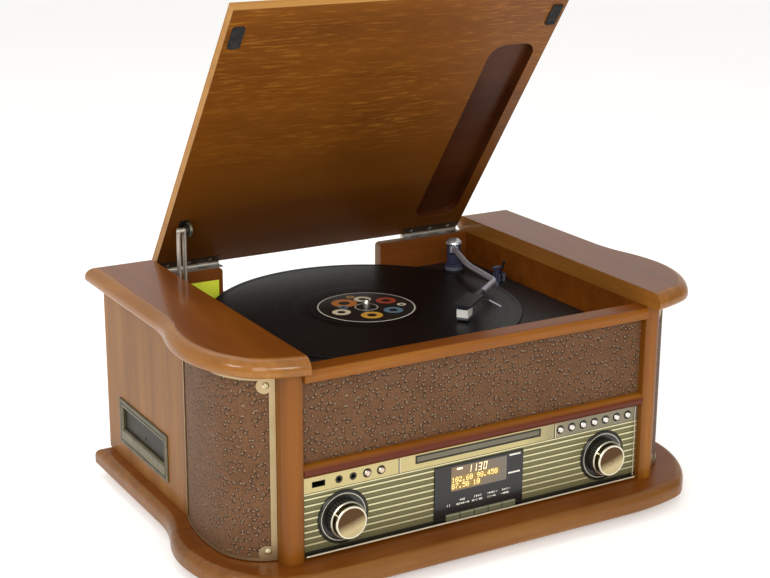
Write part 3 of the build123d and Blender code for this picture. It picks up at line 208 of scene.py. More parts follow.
class Finish(Nodes):
    """One material, put together from nodes."""

    def __init__(self, name):
        self.material = bpy.data.materials.new(name)
        self.material.use_nodes = True
        super().__init__(self.material.node_tree)
        self.shader = self.tree.nodes["Principled BSDF"]
        self.place = self.make("ShaderNodeTexCoord")["Object"]
        split = self.make("ShaderNodeSeparateXYZ", Vector=self.place)
        self.x, self.y, self.z = split["X"], split["Y"], split["Z"]

    def blend(self, amount, first, second):
        """A number between two numbers."""
        return amount * second + (1 - amount) * first

    def stretched(self, scale, shift=(0, 0, 0)):
        return self.make("ShaderNodeMapping", Vector=self.place, Scale=scale,
                         Location=shift)["Vector"]

    def noise(self, scale, detail=3, vector=None, distortion=0.0, rough=0.5):
        return self.make("ShaderNodeTexNoise", Vector=vector or self.place, Scale=scale,
                         Detail=detail, Distortion=distortion, Roughness=rough)["Fac"]

    def ramp(self, amount, *stops):
        return self.make("ShaderNodeValToRGB", {"stops": stops}, Fac=amount)["Color"]

    def combine(self, x, y, z):
        return self.make("ShaderNodeCombineXYZ", X=x, Y=y, Z=z)["Vector"]

    def away(self, centre, axes="xyz"):
        """Distance from a centre, measured over some of the axes."""
        total = 0
        for axis, middle in zip("xyz", centre):
            if axis in axes:
                offset = getattr(self, axis) - middle
                total = offset * offset + total
        return total.root()

    def facing(self, axis):
        """How squarely the true face looks along X, Y or Z, from -1 to 1."""
        normal = self.make("ShaderNodeNewGeometry")["True Normal"]
        return self.make("ShaderNodeSeparateXYZ", Vector=normal)[axis]

    def bump(self, height, depth):
        """A Bump node on the shader's normal: a height from 0 to 1, a depth in metres."""
        normal = self.make("ShaderNodeBump", Height=height, Distance=depth, Strength=1.0)
        plug(self.tree, self.shader.inputs["Normal"], normal["Normal"])

    def varnish(self, colour, height, rough, coat, coat_rough=0.12, shine=0.2,
                depth=0.03 * MM):
        """Wood under a clear coat; `height` is bumped to a depth in metres."""
        self.bump(height, depth)
        return self.set(Base_Color=colour, Roughness=rough, Coat_Weight=coat,
                        Coat_Roughness=coat_rough, Specular_IOR_Level=shine)

    def set(self, **values):
        """Set or link the shader's sockets, given by their names with _ for a space."""
        for key, value in values.items():
            plug(self.tree, self.shader.inputs[key.replace("_", " ")], value)
        return self.material


def dress(material, *names):
    """Give CAD nodes one material."""
    for name in names:
        mesh = NODES[name].data
        mesh.materials.clear()
        mesh.materials.append(material)


def paint(code):
    """A colour written as six hex digits in the shader's linear light; other colours stay."""
    if not isinstance(code, str):
        return code
    levels = [int(code[i:i + 2], 16) / 255 for i in (0, 2, 4)]
    return tuple(v / 12.92 if v < 0.04 else ((v + 0.055) / 1.055) ** 2.4 for v in levels)


# ------------------------------------------------------------------ wood
TONES = ("dark", "mid", "light")
GRAIN_SCALES = {"x": (0.07, 1, 1), "y": (1, 0.07, 1), "z": (1, 1, 0.07)}
GRAIN_FIGURE = 30        # broad light and dark bands per metre across the grain
GRAIN_STREAK = 190
GRAIN_PORE = 800


def draw_grain(f, grain, dark, middle, light, contrast=1.0):
    """Colour, height and streaks of a veneer whose grain runs along one axis."""
    stretch = GRAIN_SCALES[grain]
    figure = f.noise(GRAIN_FIGURE, 3, f.stretched(stretch, (0.31, 0.17, 0.53)), 0.6)
    streak = f.noise(GRAIN_STREAK, 4, f.stretched(stretch, (0.7, 0.2, 0.4)), 0.2)
    pore = f.noise(GRAIN_PORE, 2, f.stretched(stretch))
    cloud = f.noise(6, 2)
    tone = ((figure - 0.5) * 1.4 + (streak - 0.5) * 0.9) * contrast + cloud * 0.4 + 0.3
    pores = pore.above(0.6, 0.16) * streak.above(0.48, 0.2)
    colour = f.ramp(tone, (0.15, dark), (0.5, middle), (0.85, light))
    colour = f.mix(pores * 0.5 * contrast, colour, dark)
    return colour, pores * -1 + streak * 0.25, streak + cloud * 0.5


def make_wood(name, grain, tones, top_tones=None, gloss=0.36, lacquer=0.3, contrast=0.4):
    """Lacquered veneer in three tones, from dark to light, with other tones on its flat top."""
    f = Finish(name)
    colour, height, streak = draw_grain(f, grain, *tones, contrast)
    if top_tones:
        top, _, _ = draw_grain(f, grain, *top_tones, contrast)
        colour = f.mix(f.facing("Z").above(0.995), colour, top)
    return f.varnish(colour, height, gloss + streak * 0.1, lacquer)


POST_MIDDLE = 190.5 * MM
POST_SHADE_FROM = 5.2 * MM     # from the post's middle to where the painted shade towards its edges sets in
BEAD_LOW, BEAD_HIGH = mm(98, 113.5)
TOP_RAIL = 150 * MM       # above the beaded rail and under the top one
VENEER_REACH = 3 * MM     # how far the veneer goes in from the back board's inner face
POCKET_DEPTH = 9 * MM
LINING_DEPTH, BOARD_DEPTH = mm(0.9, 8.5)    # how deep the dark inner finish goes in each


def woods(looks, kind):
    """The dark, middle and light tones of one of the woods."""
    return tuple(getattr(looks, f"{kind}_{tone}") for tone in TONES)


def make_post_wood(looks):
    """Amber posts, with painted shade darkening them towards both edges."""
    f = Finish("posts_amber")
    dark, middle, light = woods(looks, "amber")
    colour, height, streak = draw_grain(f, "z", dark, middle, light, 0.3)
    # painted shade: the posts darken towards both edges
    edge = (f.x.size() - POST_MIDDLE).size().above(POST_SHADE_FROM, 6.5 * MM)
    colour = f.mix(edge * 0.55, colour, dark)
    return f.varnish(colour, height, 0.36 + streak * 0.1, 0.2)


def make_rail_wood(looks):
    """Amber rails; the rail over the panel is painted dark red towards its lower edge, as painted
    shade under its bead.
    """
    f = Finish("rails_amber")
    amber, height, streak = draw_grain(f, "x", *woods(looks, "amber"), 0.35)
    top, _, _ = draw_grain(f, "x", *woods(looks, "walnut"), 0.35)
    # painted shade: dark red under the rail's bead
    bead_shadow = f.z.below(BEAD_HIGH, 4 * MM) * f.z.above(BEAD_LOW)
    colour = f.mix(f.facing("Z").above(0.9) * f.z.above(TOP_RAIL), amber, top)
    colour = f.mix(bead_shadow, colour, looks.bead_shadow_tone)
    return f.varnish(colour, height, 0.34 + streak * 0.1, 0.2, 0.14)


def make_back_wood(looks, face):
    """Veneer towards the turntable and on the cut edges of its notch, dark paint at the back."""
    f = Finish("back_board")
    veneer, height, streak = draw_grain(f, "x", *woods(looks, "walnut"), 0.4)
    paint_coat = f.mix(streak.above(0.5, 0.4), "2a1a10", "1d120b")
    edge = f.mix(f.noise(240, 3), "8a6238", "6e4a26")
    colour = f.mix(f.y.below(face + VENEER_REACH), edge, veneer)
    colour = f.mix(f.facing("Y").above(0.5), colour, paint_coat)
    return f.varnish(colour, height, 0.42 + streak * 0.12, 0.1, 0.2, 0.3, 0.04 * MM)


def along_lid(f, way):
    """How far a point lies from the hinge along a direction of the lid, in metres."""
    return f.y * way.y + f.z * way.z - way.dot(LID_FRAME.translation)


def make_lid_wood(looks, name, face_end):
    """Honey edges, a walnut top, and a dark open-grained lining nearer than `face_end`."""
    f = Finish(name)
    edge, height, streak = draw_grain(f, "x", *woods(looks, "edge"), 0.5)
    deep, _, _ = draw_grain(f, "x", *woods(looks, "veneer"), 0.22)
    reach = along_lid(f, LID_AWAY)
    dash = f.noise(620, 2, f.stretched((0.07, 1, 1), (2.1, 0.4, 0.9)), 0.3)
    patch = f.noise(9, 2, f.stretched((0.6, 1, 1), (0.4, 0, 0))) + reach * 1.3
    dashes = dash.above(0.6, 0.12) * patch.above(0.8, 0.3)
    # painted shade: the lining darkens towards the hinge
    deep = f.layers(deep, (dashes * 0.5, looks.veneer_dash),
                          (reach.below(90 * MM, 170 * MM) * 0.55, looks.veneer_dark))
    pocket, _, _ = draw_grain(f, "x", *woods(looks, "pocket"), 0.5)
    depth = along_lid(f, LID_OUT)
    in_pocket = (f.x.between(POCKET_LOW - 1 * MM, POCKET_HIGH + 1 * MM)
                 * reach.between(POCKET_NEAR - 1 * MM, POCKET_FAR + 1 * MM))
    thick = max(LID_OUT.dot(v.co - LID_FRAME.translation) for v in NODES["lid"].data.vertices)
    top, _, _ = draw_grain(f, "x", *woods(looks, "walnut"), 0.5)
    edge = f.mix(depth.above(thick - 0.3 * MM), edge, top)
    face = depth.below(face_end)
    inside = face.most(in_pocket * depth.below(POCKET_DEPTH))
    colour = f.mix(inside, edge, f.mix(in_pocket * depth.above(1 * MM), deep, pocket))
    return f.varnish(colour, height + dashes * 0.4, 0.4 + streak * 0.1, 0.12, 0.2)


# ------------------------------------------------------------------ speaker leatherette
QUILL_SPACING = 5.9 * MM
QUILL_RADIUS = 0.95 * MM


def make_quill_leather(looks, name, across):
    """Brown leatherette with scattered quill marks, each a pale dot beside a dark pit; the pits,
    creases and pebble edges are darkened as painted shade.

    `across` turns the finish's position into the distance along the surface.
    """
    f = Finish(name)
    along, level = across(f), f.z
    flat = f.combine(along / QUILL_SPACING, level / QUILL_SPACING, 0)
    cells = f.make("ShaderNodeTexVoronoi", {"voronoi_dimensions": "2D"}, Vector=flat,
                   Scale=1.0, Randomness=0.85)
    middle = f.make("ShaderNodeSeparateXYZ", Vector=cells["Position"])
    pick = f.make("ShaderNodeSeparateColor", Color=cells["Color"])
    u = along - middle["X"] * QUILL_SPACING
    v = level - middle["Y"] * QUILL_SPACING
    lean_u, lean_v = pick["Red"] - 0.5, pick["Green"] - 0.5
    some = pick["Blue"].above(0.12)
    pair = pick["Blue"].above(0.55)

    def spot(du, dv, radius, soft):
        a, b = u - du, v - dv
        return (a * a + b * b).root().below(radius, soft)

    dot = spot(lean_u * 1.2 * MM, lean_v * 1.2 * MM, 0.85 * QUILL_RADIUS, 0.9 * MM)
    twin = spot(lean_u * -4.2 * MM, lean_v * 3.2 * MM - 0.6 * MM, 0.5 * QUILL_RADIUS, 0.6 * MM)
    pit = spot(lean_u * 2.6 * MM, lean_v * 2.2 * MM - 0.3 * MM, 1.75 * QUILL_RADIUS, 1.0 * MM)
    twin_pit = spot(lean_u * -5.6 * MM, lean_v * 4.4 * MM - 0.9 * MM, 1.1 * QUILL_RADIUS,
                    0.9 * MM)
    dots = (dot + twin * pair) * some
    pit_dents_and_shade = (pit + twin_pit * pair) * some
    pebble = f.make("ShaderNodeTexVoronoi", {"voronoi_dimensions": "2D"}, Vector=flat,
                    Scale=8.0)["Distance"]
    cloud = f.noise(34, 4)
    crease = f.noise(620, 3)
    colour = f.mix(cloud.above(0.5, 0.5), looks.leather, looks.leather_light)
    # painted shade in the pebbles' crevices, the creases and the pits
    colour = f.layers(colour, (pebble.above(0.5, 0.6) * 0.4, looks.leather_crease_shade),
                              (crease.above(0.52, 0.2) * 0.5, looks.leather_crease_shade),
                              (pit_dents_and_shade.least(1) * 0.85, looks.quill_pit_shade), (dots * 0.6, looks.quill))
    f.bump(dots * 0.35 - pit_dents_and_shade * 0.8 + pebble * -0.3 + crease * 0.4, 0.45 * MM)
    return f.set(Base_Color=colour, Roughness=0.56 + pebble * 0.1, Specular_IOR_Level=0.25)


GRILLE_CENTRE = mm(-190, -79.5)
GRILLE_TURN = 62 * MM     # rough radius of the curve, which turns an angle into a distance


def along_curve(f):
    """Distance round either curved speaker front."""
    angle = (f.y - GRILLE_CENTRE[1]).angle(f.x.size() * -1 - GRILLE_CENTRE[0])
    return angle * GRILLE_TURN + f.x.above(0) * 0.5


# ------------------------------------------------------------------ metals, plastics, rubber
def make_metal(name, colour, rough, brush=None, dirt=0.0):
    """Plated or painted metal, with brush lines along one axis and grime in its texture."""
    f, colour = Finish(name), paint(colour)
    scale = {"x": (8, 900, 900), "y": (900, 8, 900), "z": (900, 900, 8)}.get(brush, (260,) * 3)
    lines = f.noise(1.0, 3, f.stretched(scale))
    cloud = f.noise(35, 4)
    body = f.mix(lines.above(0.5, 0.8) * 0.35, colour, tuple(0.72 * c for c in colour))
    body = f.mix(cloud.above(0.55, 0.3) * dirt, body, tuple(0.4 * c for c in colour))
    f.bump(lines, 0.015 * MM)
    return f.set(Base_Color=body, Metallic=1.0, Roughness=rough + lines * 0.12 + cloud * 0.05)


def make_plastic(name, colour, rough, grain=0.02 * MM, coat=0.0, specks=0.25):
    """Moulded plastic or paint with a fine skin texture and faint wear."""
    f, colour = Finish(name), paint(colour)
    skin = f.noise(2600, 2)
    wear = f.noise(42, 5)
    body = f.mix(skin.above(0.5, 0.6) * specks, colour, tuple(0.6 * c + 0.002 for c in colour))
    worn = tuple(min(1, 1.35 * c + 0.004) for c in colour)
    body = f.mix(wear.above(0.62, 0.2) * specks, body, worn)
    f.bump(skin, grain)
    return f.set(Base_Color=body, Roughness=rough + wear * 0.12, Coat_Weight=coat,
                 Coat_Roughness=0.06)


def make_rubber(name, colour):
    f = Finish(name)
    dust = f.noise(160, 4)
    f.bump(f.noise(1700, 3), 0.05 * MM)
    return f.set(Base_Color=f.mix(dust.above(0.58, 0.2) * 0.5, colour, "3a3936"),
                 Roughness=0.78 + dust * 0.14)


# ------------------------------------------------------------------ front panel
RIB_PITCH = 6.1 * MM
RIB_FIRST = 34 * MM
RIB_HALF = 0.65 * MM
RIB_TOP = 84.5 * MM
KNOB_X = 140.3 * MM
KNOB_Z = 59.7 * MM
FASCIA_EDGE = 178.4 * MM
FIELD_LOW = 32.6 * MM
PALE_LINE = mm(86.4, 87.5)
# painted shadow under the gold strip's edge
STRIP_SHADOW_LINE = mm(87.6, 88.6)
KNOB_SHADE = mm(23.6, 25.4)
FADE_MIDDLE, FADE_WIDTH = mm(74, 50)    # where the strip turns grey
KEY_HIGHLIGHT_EDGE = 36.6 * MM
RING_LINE = mm(21.4, 22.1)
ROW_LEVELS = mm(60.4, 66.6, 73.0)    # edges of the display's two lit rows
ROW_ENDS = mm(2, 22)


def from_knobs(f):
    """Distance from the axis of the nearer knob."""
    left, right = (f.away((x, 0, KNOB_Z), "xz") for x in (-KNOB_X, KNOB_X))
    return left.least(right)


def make_fascia(looks):
    """Olive hatched panel with bright ribs, under a gold strip that turns grey to the right."""
    f = Finish("fascia_gold")
    phase = ((f.z - RIB_FIRST + 0.5 * RIB_PITCH).repeat(RIB_PITCH) - 0.5).size() * RIB_PITCH
    field = f.z.between(FIELD_LOW, RIB_TOP)
    rib = phase.below(RIB_HALF + 0.05 * MM, 0.15 * MM) * field
    # groove: painted shadow lines just above and below each rib, not a cut groove
    groove = phase.between(RIB_HALF, RIB_HALF + 0.6 * MM, 0.2 * MM) * field
    wander = f.noise(70, 2, f.stretched((1, 1, 0.3))) * 3.2 * MM
    hatch = (f.z + wander).repeat(1.15 * MM).between(0.2, 0.6, 0.3)
    grain = f.noise(420, 3)
    sheen = f.noise(4.2, 2)
    strip = f.z.above(STRIP_LOW)
    ground = f.mix(hatch * 0.6, looks.panel_mid, looks.panel_hatch_and_shadow)
    ground = f.mix(sheen.above(0.5, 0.4) * 0.35, ground, looks.panel_light)
    # shade: painted shadows round each knob ring, along the bottom of the ribbed field and under
    # the strip's edge
    shade = (from_knobs(f).between(*KNOB_SHADE, 0.3 * MM) + f.z.below(FIELD_LOW + 2 * MM, 0.6 * MM)
             + f.z.between(*STRIP_SHADOW_LINE, 0.2 * MM))
    pale = f.z.between(*PALE_LINE, 0.2 * MM)
    gold = f.mix(grain * 0.4, looks.panel_gold, "b7a25c")
    grey = f.mix(grain * 0.5, "8d8672", "77705e")
    top = f.mix(f.x.above(FADE_MIDDLE, FADE_WIDTH), gold, grey)
    colour = f.mix(groove * 0.75, ground, looks.panel_hatch_and_shadow)
    colour = f.layers(colour, (rib.most(pale), looks.panel_rib), (shade.least(1) * 0.9, "15130c"),
                              (strip, top))
    bright = strip.most(rib).most(pale)
    f.bump(hatch * (1 - strip) * (1 - rib) * 0.6 + grain * 0.12, 0.05 * MM)
    return f.set(Base_Color=colour, Metallic=f.blend(bright, 0.35, 0.75),
                 Roughness=0.36 + grain * 0.14 - bright * 0.06)


def make_key(looks):
    """Olive-grey key with a painted highlight along its top edge."""
    f = Finish("key_olive")
    skin = f.noise(1500, 3)
    # painted highlight on the key's top edge
    rim = f.z.above(KEY_HIGHLIGHT_EDGE, 0.5 * MM)
    colour = f.mix(skin * 0.5, looks.key, "56563f")
    colour = f.mix(rim, colour, "a3a283")
    f.bump(skin, 0.02 * MM)
    return f.set(Base_Color=colour, Metallic=0.3, Roughness=0.36 + skin * 0.12)


def make_display(looks):
    """Dim grey-brown display glass, lit dark yellow behind its two lines of dots."""
    f = Finish("display_lit")
    grid = f.noise(900, 2)
    fade = f.x.above(6 * MM, 60 * MM)
    first = f.z.between(*ROW_LEVELS[1:], 1.2 * MM) * f.x.below(ROW_ENDS[1], 1.5 * MM)
    second = f.z.between(*ROW_LEVELS[:2], 1.2 * MM) * f.x.below(ROW_ENDS[0], 1.5 * MM)
    lines = first.most(second)
    ground = f.mix(fade, looks.display_ground, "5f584e")
    colour = f.mix(lines, ground, "7d6524")
    f.bump(grid, 0.004 * MM)
    return f.set(Base_Color=colour, Roughness=0.16 + grid * 0.05, Coat_Weight=0.3,
                 Emission_Color=f.mix(lines, f.mix(fade, "6a543a", "5e5850"),
                                      "8a6f28"),
                 Emission_Strength=0.5)


def make_glow(name, colour, strength):
    f = Finish(name)
    flicker = f.noise(500, 2)
    return f.set(Base_Color=f.mix(flicker * 0.2, colour, "fff0c8"), Roughness=0.4,
                 Emission_Color=f.mix(flicker * 0.3, colour, "ffd9a0"),
                 Emission_Strength=strength)


KNOB_FLUTES = 36
POINTER_TILT = radians(32)
CAP_DEPTH, SKIRT_DEPTH = mm(1.4, 7.0)       # from the knob's front
CAP_LIP, SKIRT_STEP, SKIRT_EDGE = mm(13.6, 16.1, 16.6)


def make_knob(looks, name, centre_x):
    """Fluted black skirt with painted highlights on its flutes, dark gold barrel with a pointer
    line, and a polished cap with a painted reflection, dark above and bright below.
    """
    f = Finish(name)
    front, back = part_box(name)
    u, v = f.x - centre_x, f.z - (front.z + back.z) / 2
    radius = f.away((centre_x, 0, (front.z + back.z) / 2), "xz")
    depth = f.y - front.y
    skirt = depth.above(SKIRT_DEPTH)
    cap = depth.below(CAP_DEPTH)
    lip = depth.between(1.0 * MM, 2.6 * MM) * radius.above(CAP_LIP)
    spin = radius.repeat(0.42 * MM).between(0.2, 0.8, 0.3)
    cloud = f.noise(60, 3)
    towards = v * sin(POINTER_TILT) - u * cos(POINTER_TILT)
    beside = (u * sin(POINTER_TILT) + v * cos(POINTER_TILT)).size()
    pointer = towards.above(4 * MM) * beside.below(0.75 * MM) * depth.between(2.2 * MM, 6.8 * MM)
    turn_share = v.angle(u) * (KNOB_FLUTES / (2 * pi))
    # painted highlights along every other half of each flute
    flute_highlight = turn_share.repeat(1).between(0.25, 0.75, 0.3) * radius.above(SKIRT_EDGE)
    body = f.mix(cloud * 0.6, looks.barrel, "3c3524")
    # painted reflection: the cap's face dark in its upper part, bright below
    shade = (v - u * 0.3).above(-2 * MM, 9 * MM)
    face = f.mix(shade, looks.cap_gold, looks.cap_dark_reflection)
    body = f.layers(body, (cap, f.mix(spin * 0.2, face, "8f7a52")), (lip.most(pointer), "e2dcc8"),
                          (skirt, f.mix(flute_highlight, "0e0d0a", "3b392e")))
    ring = depth.between(6.5 * MM, 7.7 * MM) * radius.above(SKIRT_STEP)
    body = f.mix(ring, body, "d5cfbc")
    shiny = 1 - skirt * (1 - ring)
    f.bump(spin * cap, 0.006 * MM)
    return f.set(Base_Color=body, Metallic=shiny, Roughness=0.36 - cap * 0.24 + cloud * 0.05)


def make_knob_ring():
    """Black ring with a thin pale circle."""
    f = Finish("ring_black")
    line = from_knobs(f).between(*RING_LINE, 0.1 * MM)
    skin = f.noise(900, 2)
    colour = f.mix(line, f.mix(skin, "14150f", "1e1e17"), "cfcbb8")
    f.bump(skin, 0.02 * MM)
    return f.set(Base_Color=colour, Roughness=0.28 + skin * 0.1, Coat_Weight=0.3)


# ------------------------------------------------------------------ record and deck
SPINDLE = Vector(((RECORD_LOW.x + RECORD_HIGH.x) / 2, (RECORD_LOW.y + RECORD_HIGH.y) / 2,
                  RECORD_HIGH.z))
GROOVE_PITCH, TRACK_PITCH = mm(0.55, 17.5)
PLAYING = mm(58, 146.5)
LABEL_RING, LABEL_INNER = mm(46.2, 47.6), mm(10.5, 11.4)
# x, y, radius and colour of each disc on the label, in millimetres from the spindle
LABEL_DISCS = ((-13, 21, 12.5, "c9772c"), (9, 24, 8.5, "e8dcc0"), (27, 9, 10, "b5452a"),
               (-29, -3, 9, "e3d6b8"), (-8, -25, 10.5, "d9a13a"), (18, -21, 9.5, "5c7f93"),
               (-20, 10, 5, "5c7f93"), (34, -9, 4.5, "e8dcc0"), (2, 36, 4, "d9a13a"))
SHELL_FROM, SHELL_SIDE = mm(168, 31)        # along and across the arm, from its pivot
COLLAR_FROM, COLLAR_SIDE = mm(158, 24)
WEIGHT_TO = -10.5 * MM
DOME_LEVEL, FOOT_LEVEL = mm(205.2, 180.5)
MOUNT_LEVEL, HOLDER_LEVEL = mm(198.3, 190.6)
MAT_RADIUS, SPINDLE_RADIUS = mm(141.2, 3.9)
KNUCKLE_REACH = 3 * MM


def make_vinyl():
    """Black vinyl: fine grooves, bands between the tracks, and a smooth run-out."""
    f = Finish("vinyl_black")
    radius = f.away(SPINDLE, "xy")
    groove = radius.repeat(GROOVE_PITCH).between(0.15, 0.75, 0.3)
    bands = f.noise(1.0, 2, f.combine(radius * 150, 0, 0))
    track = radius.repeat(TRACK_PITCH).below(0.045)
    playing = radius.between(*PLAYING)
    dust = f.noise(700, 2).above(0.71, 0.05)
    colour = f.mix(bands.above(0.5, 0.5), "040404", "09090a")
    colour = f.mix(dust * 0.12, colour, "45433f")
    f.bump(groove * playing * (1 - track) * 0.6 + bands * 0.5, 0.03 * MM)
    return f.set(Base_Color=colour, Roughness=0.32 + bands * 0.14 - track * 0.08,
                 Specular_IOR_Level=0.22)


def make_label(looks):
    """A generic record label: scattered coloured discs on black inside a pale ring."""
    f = Finish("record_label")
    radius = f.away(SPINDLE, "xy")
    colour = looks.label_ground
    paper = f.noise(900, 3)
    for x, y, size, tint in LABEL_DISCS:
        away = f.away((SPINDLE.x + x * MM, SPINDLE.y + y * MM, 0), "xy")
        colour = f.mix(away.below(size * MM, 0.4 * MM), colour, tint)
        colour = f.mix(away.below(0.45 * size * MM, 0.4 * MM), colour, "1a1512")
    ring = radius.between(*LABEL_RING, 0.2 * MM)
    inner = radius.between(*LABEL_INNER, 0.2 * MM)
    colour = f.layers(colour, (ring.most(inner), "d8d4c8"), (paper * 0.25, "241f1a"))
    f.bump(paper, 0.02 * MM)
    return f.set(Base_Color=colour, Roughness=0.42 + paper * 0.1)


def make_tonearm(name):
    """Satin silver tube that turns black from the collar to the headshell and at the weight."""
    f = Finish(name)
    along = ((f.x - ARM_PLACE.x) * ARM_ALONG.x + (f.y - ARM_PLACE.y) * ARM_ALONG.y)
    out = ((f.x - ARM_PLACE.x) * ARM_ACROSS.x + (f.y - ARM_PLACE.y) * ARM_ACROSS.y)
    shell = along.above(SHELL_FROM) * out.below(SHELL_SIDE)
    black = (along.above(COLLAR_FROM) * out.below(COLLAR_SIDE)).most(along.below(WEIGHT_TO))
    lines = f.noise(500, 3)
    cloud = f.noise(55, 3)
    silver = f.mix(lines * 0.5, "bdb9c4", "8f8c98")
    colour = f.mix(black, silver, f.mix(cloud * 0.5, "17181c", "24262c"))
    f.bump(lines * shell, 0.02 * MM)
    return f.set(Base_Color=colour, Metallic=(1 - black) * 0.6,
                 Roughness=0.4 + lines * 0.1)


def make_tower(name):
    """Dark lilac-blue tower on a lighter foot, with a silver dome."""
    f = Finish(name)
    dome = f.z.above(DOME_LEVEL)
    foot = f.z.below(FOOT_LEVEL, 0.4 * MM)
    cloud = f.noise(70, 3)
    body = f.mix(cloud * 0.5, "3b3f57", "2b2d40")
    body = f.mix(foot, body, f.mix(cloud, "6d7485", "555b6c"))
    colour = f.mix(dome, body, "d5d5da")
    f.bump(cloud, 0.02 * MM)
    return f.set(Base_Color=colour, Metallic=f.blend(dome, 0.2, 0.8),
                 Roughness=0.36 - dome * 0.12 + cloud * 0.06)


def make_cartridge(name):
    """White body under a blue-black mount, with a grey stylus holder."""
    f = Finish(name)
    cloud = f.noise(300, 3)
    mount = f.z.above(MOUNT_LEVEL)
    holder = f.z.below(HOLDER_LEVEL)
    colour = f.mix(cloud * 0.3, "e6e4de", "c4c2bb")
    colour = f.layers(colour, (mount, "1b2230"), (holder, "55585e"))
    f.bump(cloud, 0.015 * MM)
    return f.set(Base_Color=colour, Roughness=0.3 + cloud * 0.1)


def make_platter(name):
    """Black mat on a turned metal rim, with a bright spindle."""
    f = Finish(name)
    radius = f.away(SPINDLE, "xy")
    metal = radius.above(MAT_RADIUS).most(radius.below(SPINDLE_RADIUS))
    rings = radius.repeat(2.4 * MM).between(0.1, 0.9, 0.2)
    felt = f.noise(800, 4)
    colour = f.mix(felt, "101011", "1d1d1e")
    colour = f.mix(metal, colour, "c8c6c0")
    f.bump(rings * (1 - metal) + felt * 0.3, 0.15 * MM)
    return f.set(Base_Color=colour, Metallic=metal, Roughness=0.75 - metal * 0.5 + felt * 0.1)


def make_leaf(name, looks):
    """Plated knuckles, and a bronze-painted plate beyond them."""
    f = Finish(name)
    reach = along_lid(f, LID_AWAY)
    brush = f.noise(1.0, 3, f.stretched((8, 900, 900)))
    cloud = f.noise(60, 3)
    bronze = f.mix(cloud, "4a3420", "33241a")
    steel = f.mix(brush.above(0.5, 0.8) * 0.3, looks.steel, "8c8880")
    plate = reach.above(KNUCKLE_REACH, 0.6 * MM)
    f.bump(brush, 0.015 * MM)
    return f.set(Base_Color=f.mix(plate, steel, bronze), Metallic=1 - plate * 0.5,
                 Roughness=0.26 + plate * 0.16 + cloud * 0.05)


DRUM_CENTRE = LID_FRAME @ Vector((-160.4 * MM, -69.6 * MM, -7.4 * MM))
DRUM_RIM, DRUM_BOSS = mm(5.6, 1.5)


def make_drum(name):
    """Black wheel with a bright rim and a bright boss."""
    f = Finish(name)
    radius = f.away(DRUM_CENTRE, "yz")
    bright = radius.above(DRUM_RIM, 0.3 * MM).most(radius.below(DRUM_BOSS))
    cloud = f.noise(300, 3)
    colour = f.mix(bright, f.mix(cloud, "0f0f0c", "22231c"), "8f8f80")
    f.bump(cloud, 0.02 * MM)
    return f.set(Base_Color=colour, Metallic=bright * 0.9, Roughness=0.34 + cloud * 0.1)


BEZEL_GROOVE, BEZEL_STEP = mm(1.9, 2.9), mm(4.3, 5.0)    # in from its edges


def make_bezel(name):
    """Pewter frame: bright along its outer and inner edges, with painted shade darkening the
    groove and the step between them.
    """
    f = Finish(name)
    low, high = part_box("cassette_bezel")
    inset = (f.y - low.y).least(high.y - f.y).least((f.z - low.z).least(high.z - f.z))
    groove = inset.between(*BEZEL_GROOVE, 0.3 * MM)
    step = inset.between(*BEZEL_STEP, 0.3 * MM)
    cloud = f.noise(90, 4)
    grime = f.noise(500, 3)
    body = f.mix(cloud.above(0.5, 0.4) * 0.6, "7c745c", "544e3e")
    # painted shade in the groove and the step
    body = f.layers(body, (grime.above(0.56, 0.2) * 0.4, "4a4536"),
                          (groove.most(step) * 0.85, "1c1a12"))
    f.bump(grime * 0.4 - groove, 0.1 * MM)
    return f.set(Base_Color=body, Metallic=0.75 - groove * 0.3, Roughness=0.34 + cloud * 0.12)


# ------------------------------------------------------------------ small parts
CREASE = radians(35)
TILE_RISE, TILE_SUNK = mm(0.06, 0.01)    # a thin tile's front and back, off its face
SCREW_STEPS, SCREW_RINGS = 40, 9
CROSS_REACH, CROSS_HALF, CROSS_DEPTH = 0.62, 0.13, 0.7    # shares of the radius and the rise


def add_part(shape, name, material, body):
    """Turn a bmesh into an object that rides on a body."""
    bmesh.ops.recalc_face_normals(shape, faces=shape.faces)
    mesh = bpy.data.meshes.new(name)
    shape.to_mesh(mesh)
    shape.free()
    mesh.materials.append(material)
    mesh.shade_smooth()
    mesh.set_sharp_from_angle(angle=CREASE)
    part = bpy.data.objects.new(name, mesh)
    bpy.context.scene.collection.objects.link(part)
    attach(part, body)


def aim(place, axis):
    """A frame at `place` whose Z points along `axis`."""
    return Matrix.Translation(place) @ Vector(axis).to_track_quat("Z", "Y").to_matrix().to_4x4()


def turn(shape, profile, place, steps=40):
    """Turn (radius, height) points about the Z of `place`."""
    rings = []
    turns = [2 * pi * i / steps for i in range(steps)]
    for radius, height in profile:
        if radius:
            points = [Vector((radius * cos(t), radius * sin(t), height)) for t in turns]
            rings.append([shape.verts.new(place @ point) for point in points])
        else:
            rings.append([shape.verts.new(place @ Vector((0, 0, height)))] * steps)
    for lower, upper in zip(rings, rings[1:]):
        for i in range(steps):
            k = (i + 1) % steps
            corners = dict.fromkeys((lower[i], lower[k], upper[k], upper[i]))
            if len(corners) > 2:
                shape.faces.new(corners)


def add_block(shape, low, high, ease=0.0, place=Matrix()):
    """A block between two corners, its edges eased."""
    low, high = Vector(low), Vector(high)
    fit = place @ Matrix.Translation((low + high) / 2) @ Matrix.Diagonal((*(high - low), 1))
    corners = bmesh.ops.create_cube(shape, size=1, matrix=fit)["verts"]
    if ease:
        edges = list({edge for corner in corners for edge in corner.link_edges})
        bmesh.ops.bevel(shape, geom=edges, offset=ease, segments=2, affect="EDGES", profile=0.7)


